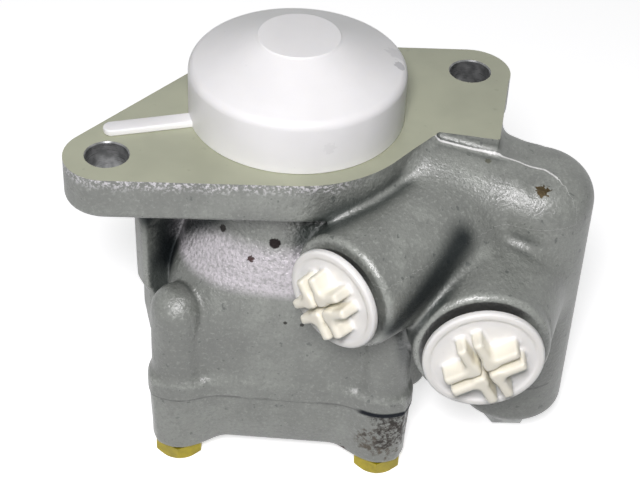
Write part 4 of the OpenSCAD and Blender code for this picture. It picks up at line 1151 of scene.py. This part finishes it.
def node_group(name, inputs):
    """An empty Geometry Nodes tree with named inputs, its input and output nodes."""
    tree = bpy.data.node_groups.new(name, "GeometryNodeTree")
    tree.interface.new_socket("Geometry", in_out="INPUT", socket_type="NodeSocketGeometry")
    for label, kind in inputs:
        tree.interface.new_socket(label, in_out="INPUT", socket_type=kind)
    tree.interface.new_socket("Geometry", in_out="OUTPUT", socket_type="NodeSocketGeometry")
    return tree, tree.nodes.new("NodeGroupInput"), tree.nodes.new("NodeGroupOutput")


def added(tree, *kinds):
    """New nodes of a Geometry Nodes tree."""
    return [tree.nodes.new(f"GeometryNode{kind}") for kind in kinds]


def link(tree, *steps):
    """Links sockets, each step naming a node, its output, a node and its input."""
    for start, leaving, end, entering in steps:
        tree.links.new(start.outputs[leaving], end.inputs[entering])


def grown(made, tree, values):
    """Runs a Geometry Nodes tree on an object and keeps its mesh."""
    step = made.modifiers.new(tree.name, "NODES")
    step.node_group = tree
    for item in tree.interface.items_tree:
        if item.in_out == "INPUT" and item.name in values:
            step[item.identifier] = values[item.name]
    return settle(made)


class PUMP_OT_screws(bpy.types.Operator):
    """Makes one hex screw and sets it round the cover"""

    bl_idname = "pump.screws"
    bl_label = "Cover screws"

    def execute(self, context):
        looks = context.scene.pump_screws
        flats, head, r = looks.flats / MM, looks.head / MM, looks.shank / MM
        turn = -117
        low, top, face = FOOT_Z - head, JOINT_Z + 22, FOOT_Z - 0.5
        corner = flats / 2 / math.cos(math.pi / 6)
        screw = prism("pump_screws", arc((0, 0), corner, turn, turn + 300, 5), low, face)
        crown = [(0, low + 0.35), (flats * 0.30, low + 0.35), (flats * 0.34, low), (flats / 2 - 0.45, low)]
        combine(screw, revolved("crown", crown + arc((flats / 2 - 0.45 - 0.6, low + 1.2), 1.34, -63, -22, 6) + [
            (corner + 1, low + 2.6), (corner + 1, face + 1), (0, face + 1)], sides=72), "INTERSECT")
        thread = [(0, top), (r - 1, top), (r, top - 1)]
        pitch, z = 1.5, top - 2
        while z > JOINT_Z + 1:
            thread += [(r, z), (r - 0.75, z - pitch * 0.5), (r, z - pitch)]
            z -= pitch + 0.01
        shank = thread + [(r, FOOT_Z + 0.6), (r + 0.6, FOOT_Z - 0.02), (flats / 2 - 0.3, FOOT_Z - 0.02),
                          (flats / 2 - 0.3, face - 0.2), (0, face - 0.2)]
        combine(screw, revolved("shank", shank, sides=48), "UNION")
        tree, given, result = node_group("Screws on a circle", [
            ("Count", "NodeSocketInt"), ("Radius", "NodeSocketFloat"), ("Turn", "NodeSocketRotation"),
            ("Finish", "NodeSocketMaterial")])
        circle, turner, spread, solid, paint = added(
            tree, "MeshCircle", "Transform", "InstanceOnPoints", "RealizeInstances", "SetMaterial")
        link(tree, (given, "Count", circle, "Vertices"), (given, "Radius", circle, "Radius"),
             (circle, "Mesh", turner, "Geometry"), (given, "Turn", turner, "Rotation"),
             (turner, "Geometry", spread, "Points"), (given, "Geometry", spread, "Instance"),
             (spread, "Instances", solid, "Geometry"), (solid, "Geometry", paint, "Geometry"),
             (given, "Finish", paint, "Material"), (paint, "Geometry", result, "Geometry"))
        zinc = metal_finish("yellow zinc", tuple(looks.zinc), 0.36, 0.35, 0.25, 4)
        grown(screw, tree, {"Count": 4, "Radius": BOLT_CIRCLE, "Turn": (0.0, 0.0, BOLT_TURN), "Finish": zinc})
        finished(screw, "pump_body", "zinc", ["cover_bolts"], zinc, sharp=25)
        return {"FINISHED"}


class PUMP_OT_spring(bpy.types.Operator):
    """Winds the valve spring"""

    bl_idname = "pump.spring"
    bl_label = "Valve spring"

    def execute(self, context):
        looks = context.scene.pump_screws
        wire = looks.wire / MM
        tree, given, result = node_group("Coil spring", [
            ("Turns", "NodeSocketFloat"), ("Coil radius", "NodeSocketFloat"), ("Height", "NodeSocketFloat"),
            ("Wire radius", "NodeSocketFloat"), ("Finish", "NodeSocketMaterial")])
        coil, section, sweep, solid, paint = added(
            tree, "CurveSpiral", "CurvePrimitiveCircle", "CurveToMesh", "RealizeInstances", "SetMaterial")
        coil.inputs["Resolution"].default_value = 40
        section.inputs["Resolution"].default_value = 14
        sweep.inputs["Fill Caps"].default_value = True
        link(tree, (given, "Turns", coil, "Rotations"), (given, "Coil radius", coil, "Start Radius"),
             (given, "Coil radius", coil, "End Radius"), (given, "Height", coil, "Height"),
             (given, "Wire radius", section, "Radius"), (coil, "Curve", sweep, "Curve"),
             (section, "Curve", sweep, "Profile Curve"), (sweep, "Mesh", solid, "Geometry"),
             (solid, "Geometry", paint, "Geometry"), (given, "Finish", paint, "Material"),
             (paint, "Geometry", result, "Geometry"))
        steel = metal_finish("spring wire", (0.34, 0.34, 0.36), 0.3, 1.0, 0.2, 3)
        made = mesh_object("pump_spring", [(0, 0, 0)], [])
        grown(made, tree, {"Turns": looks.turns, "Coil radius": looks.coil / MM, "Height": SPRING_LEN - 2 * wire,
                           "Wire radius": wire, "Finish": steel})
        x, y = polar(VALVE_PLACE, TOWER_TURN)
        made.data.transform(Matrix.Translation((x, y, SPRING_LOW + wire)))
        faced_out(made)
        finished(made, "pump_body", "spring_steel", ["valve_spring"], steel, sharp=60)
        x * MM
        y * MM
        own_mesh(made)
        return {"FINISHED"}


class PUMP_OT_inner(bpy.types.Operator):
    """Gives the carried-over solids their finishes"""

    bl_idname = "pump.inner"
    bl_label = "Inner pieces"

    def execute(self, context):
        steel = metal_finish("ground steel", (0.60, 0.61, 0.63), 0.24)
        hard = metal_finish("hardened steel", (0.44, 0.44, 0.46), 0.32, 1.0, 0.3)
        dark = metal_finish("blackened steel", (0.10, 0.10, 0.105), 0.42, 0.9, 0.3)
        plug = metal_finish("plug steel", (0.36, 0.37, 0.36), 0.42, 0.8, 0.35, 5)
        bronze = metal_finish("bronze", (0.58, 0.38, 0.16), 0.34)
        copper = metal_finish("copper", (0.62, 0.34, 0.22), 0.38)
        rubber = rubber_finish("seal rubber")
        groups = {
            steel: ["drive_shaft", "bearing_outer_race", "bearing_inner_race", "bearing_balls", "dowel_pins",
                    "valve_spool"] + [f"vane_{i}" for i in range(10)],
            hard: ["rotor", "cam_ring", "pressure_plate", "rear_plate"],
            dark: ["shaft_circlip", "bearing_circlip", "rotor_circlip", "disc_spring"],
            plug: ["valve_plug"],
            bronze: ["rear_bush", "bearing_cage"],
            copper: ["valve_plug_seal"],
            rubber: ["shaft_seal", "cover_seal", "plate_seal"],
        }
        for finish, names in groups.items():
            for name in names:
                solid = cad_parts[name]
                solid.data.materials.clear()
                solid.data.materials.append(finish)
        return {"FINISHED"}


class PUMP_OT_stage(bpy.types.Operator):
    """Lays the floor, hangs the lamps and sets the camera"""

    bl_idname = "pump.stage"
    bl_label = "Stage"

    def execute(self, context):
        looks = context.scene.pump_stage
        scene = context.scene
        scene.view_settings.view_transform = "Standard"
        side, level = 4000, CAD_LOW.z / MM - 0.05
        floor = mesh_object("floor", [(-side, -side, level), (side, -side, level), (side, side, level),
                                      (-side, side, level)], [(0, 1, 2, 3)])
        floor.data.transform(Matrix.Scale(MM, 4))
        paint = Finish("floor", looks.floor)
        base = paint.node("ShaderNodeBsdfDiffuse", None, {"Color": (*paint.colour, 1)})
        glow = paint.node("ShaderNodeEmission", None, {"Color": (1, 1, 1, 1), "Strength": 0.66})
        both = paint.node("ShaderNodeAddShader", None, {0: base, 1: glow})
        dim = paint.node("ShaderNodeBsdfDiffuse", None, {"Color": (0.12, 0.13, 0.125, 1)})
        shown = paint.node("ShaderNodeMixShader", None, {0: paint.seen(), 1: dim, 2: both})
        paint.node("ShaderNodeOutputMaterial", None, {"Surface": shown})
        floor.data.materials.append(paint.material)
        self.world(scene, looks)
        self.lamp("lamp_above", (60, 140, 850), 700, looks.key)
        self.lamp("lamp_front", (-235, -395, 430), 160, looks.front)
        self.lamp("lamp_low", (-640, -480, 380), 400, looks.low)
        self.camera(scene)
        return {"FINISHED"}

    def world(self, scene, looks):
        sky = bpy.data.worlds.new("sky")
        air = Nodes(sky)
        even = air.node("ShaderNodeBackground", None, {"Color": (0.86, 1, 0.95, 1), "Strength": looks.ambient})
        white = air.node("ShaderNodeBackground", None, {"Color": (1, 1, 1, 1), "Strength": 1.0})
        mix = air.node("ShaderNodeMixShader", None, {0: air.seen(), 1: even, 2: white})
        air.node("ShaderNodeOutputWorld", None, {"Surface": mix})
        scene.world = sky

    def lamp(self, name, at, size, power):
        middle = Vector((0, 0, -50))
        data = bpy.data.lights.new(name, "AREA")
        data.shape, data.size, data.energy = "DISK", size * MM, power
        data.color = (1, 0.97, 1)
        made = bpy.data.objects.new(name, data)
        made.location = Vector(at) * MM
        made.rotation_euler = (middle - Vector(at)).to_track_quat("-Z", "Y").to_euler()
        bpy.context.scene.collection.objects.link(made)

    def camera(self, scene):
        turn, rise, roll = (math.radians(a) for a in (-27.286, 38.491, 3.088))
        back = Vector((math.sin(turn) * math.cos(rise), -math.cos(turn) * math.cos(rise), math.sin(rise)))
        level = Vector((math.cos(turn), math.sin(turn), 0))
        upright = back.cross(level)
        right = math.cos(roll) * level + math.sin(roll) * upright
        up = math.cos(roll) * upright - math.sin(roll) * level
        data = bpy.data.cameras.new("camera")
        focal, photo_width = 1619.08, 640  # in pixels
        data.sensor_width = 36
        data.lens = focal * data.sensor_width / photo_width
        data.clip_start, data.clip_end = 0.01, 50
        made = bpy.data.objects.new("camera", data)
        aside, below, away = 7.391, 40.42, 506.837
        at = (aside * right - below * up + away * back) * MM
        made.matrix_world = Matrix(((*right, 0), (*up, 0), (*back, 0), (*at, 1))).transposed()
        scene.collection.objects.link(made)
        scene.camera = made


class PUMP_PT_panel(bpy.types.Panel):
    """Lists the pieces of the pump and their sizes and colours"""

    bl_label = "Power steering pump"
    bl_idname = "PUMP_PT_panel"
    bl_space_type = "VIEW_3D"
    bl_region_type = "UI"
    bl_category = "Pump"

    def draw(self, context):
        for label, group in GROUPS.items():
            looks = getattr(context.scene, label)
            box = self.layout.box()
            for key in group.__annotations__:
                box.prop(looks, key)
        for operator in OPERATORS:
            self.layout.operator(operator.bl_idname)


GROUPS = {
    "pump_casting": CastingLooks, "pump_closures": ClosureLooks, "pump_screws": ScrewLooks, "pump_stage": StageLooks}
OPERATORS = (PUMP_OT_housing, PUMP_OT_cover, PUMP_OT_cap, PUMP_OT_plugs, PUMP_OT_screws, PUMP_OT_spring,
             PUMP_OT_inner, PUMP_OT_stage)


def register():
    for label, group in GROUPS.items():
        bpy.utils.register_class(group)
        setattr(bpy.types.Scene, label, bpy.props.PointerProperty(type=group))
    for kind in (*OPERATORS, PUMP_PT_panel):
        bpy.utils.register_class(kind)


def unregister():
    for kind in (PUMP_PT_panel, *reversed(OPERATORS)):
        bpy.utils.unregister_class(kind)
    for label, group in GROUPS.items():
        delattr(bpy.types.Scene, label)
        bpy.utils.unregister_class(group)


def main():
    register()
    for operator in OPERATORS:
        group, name = operator.bl_idname.split(".")
        getattr(getattr(bpy.ops, group), name)()


if __name__ == "__main__":
    main()
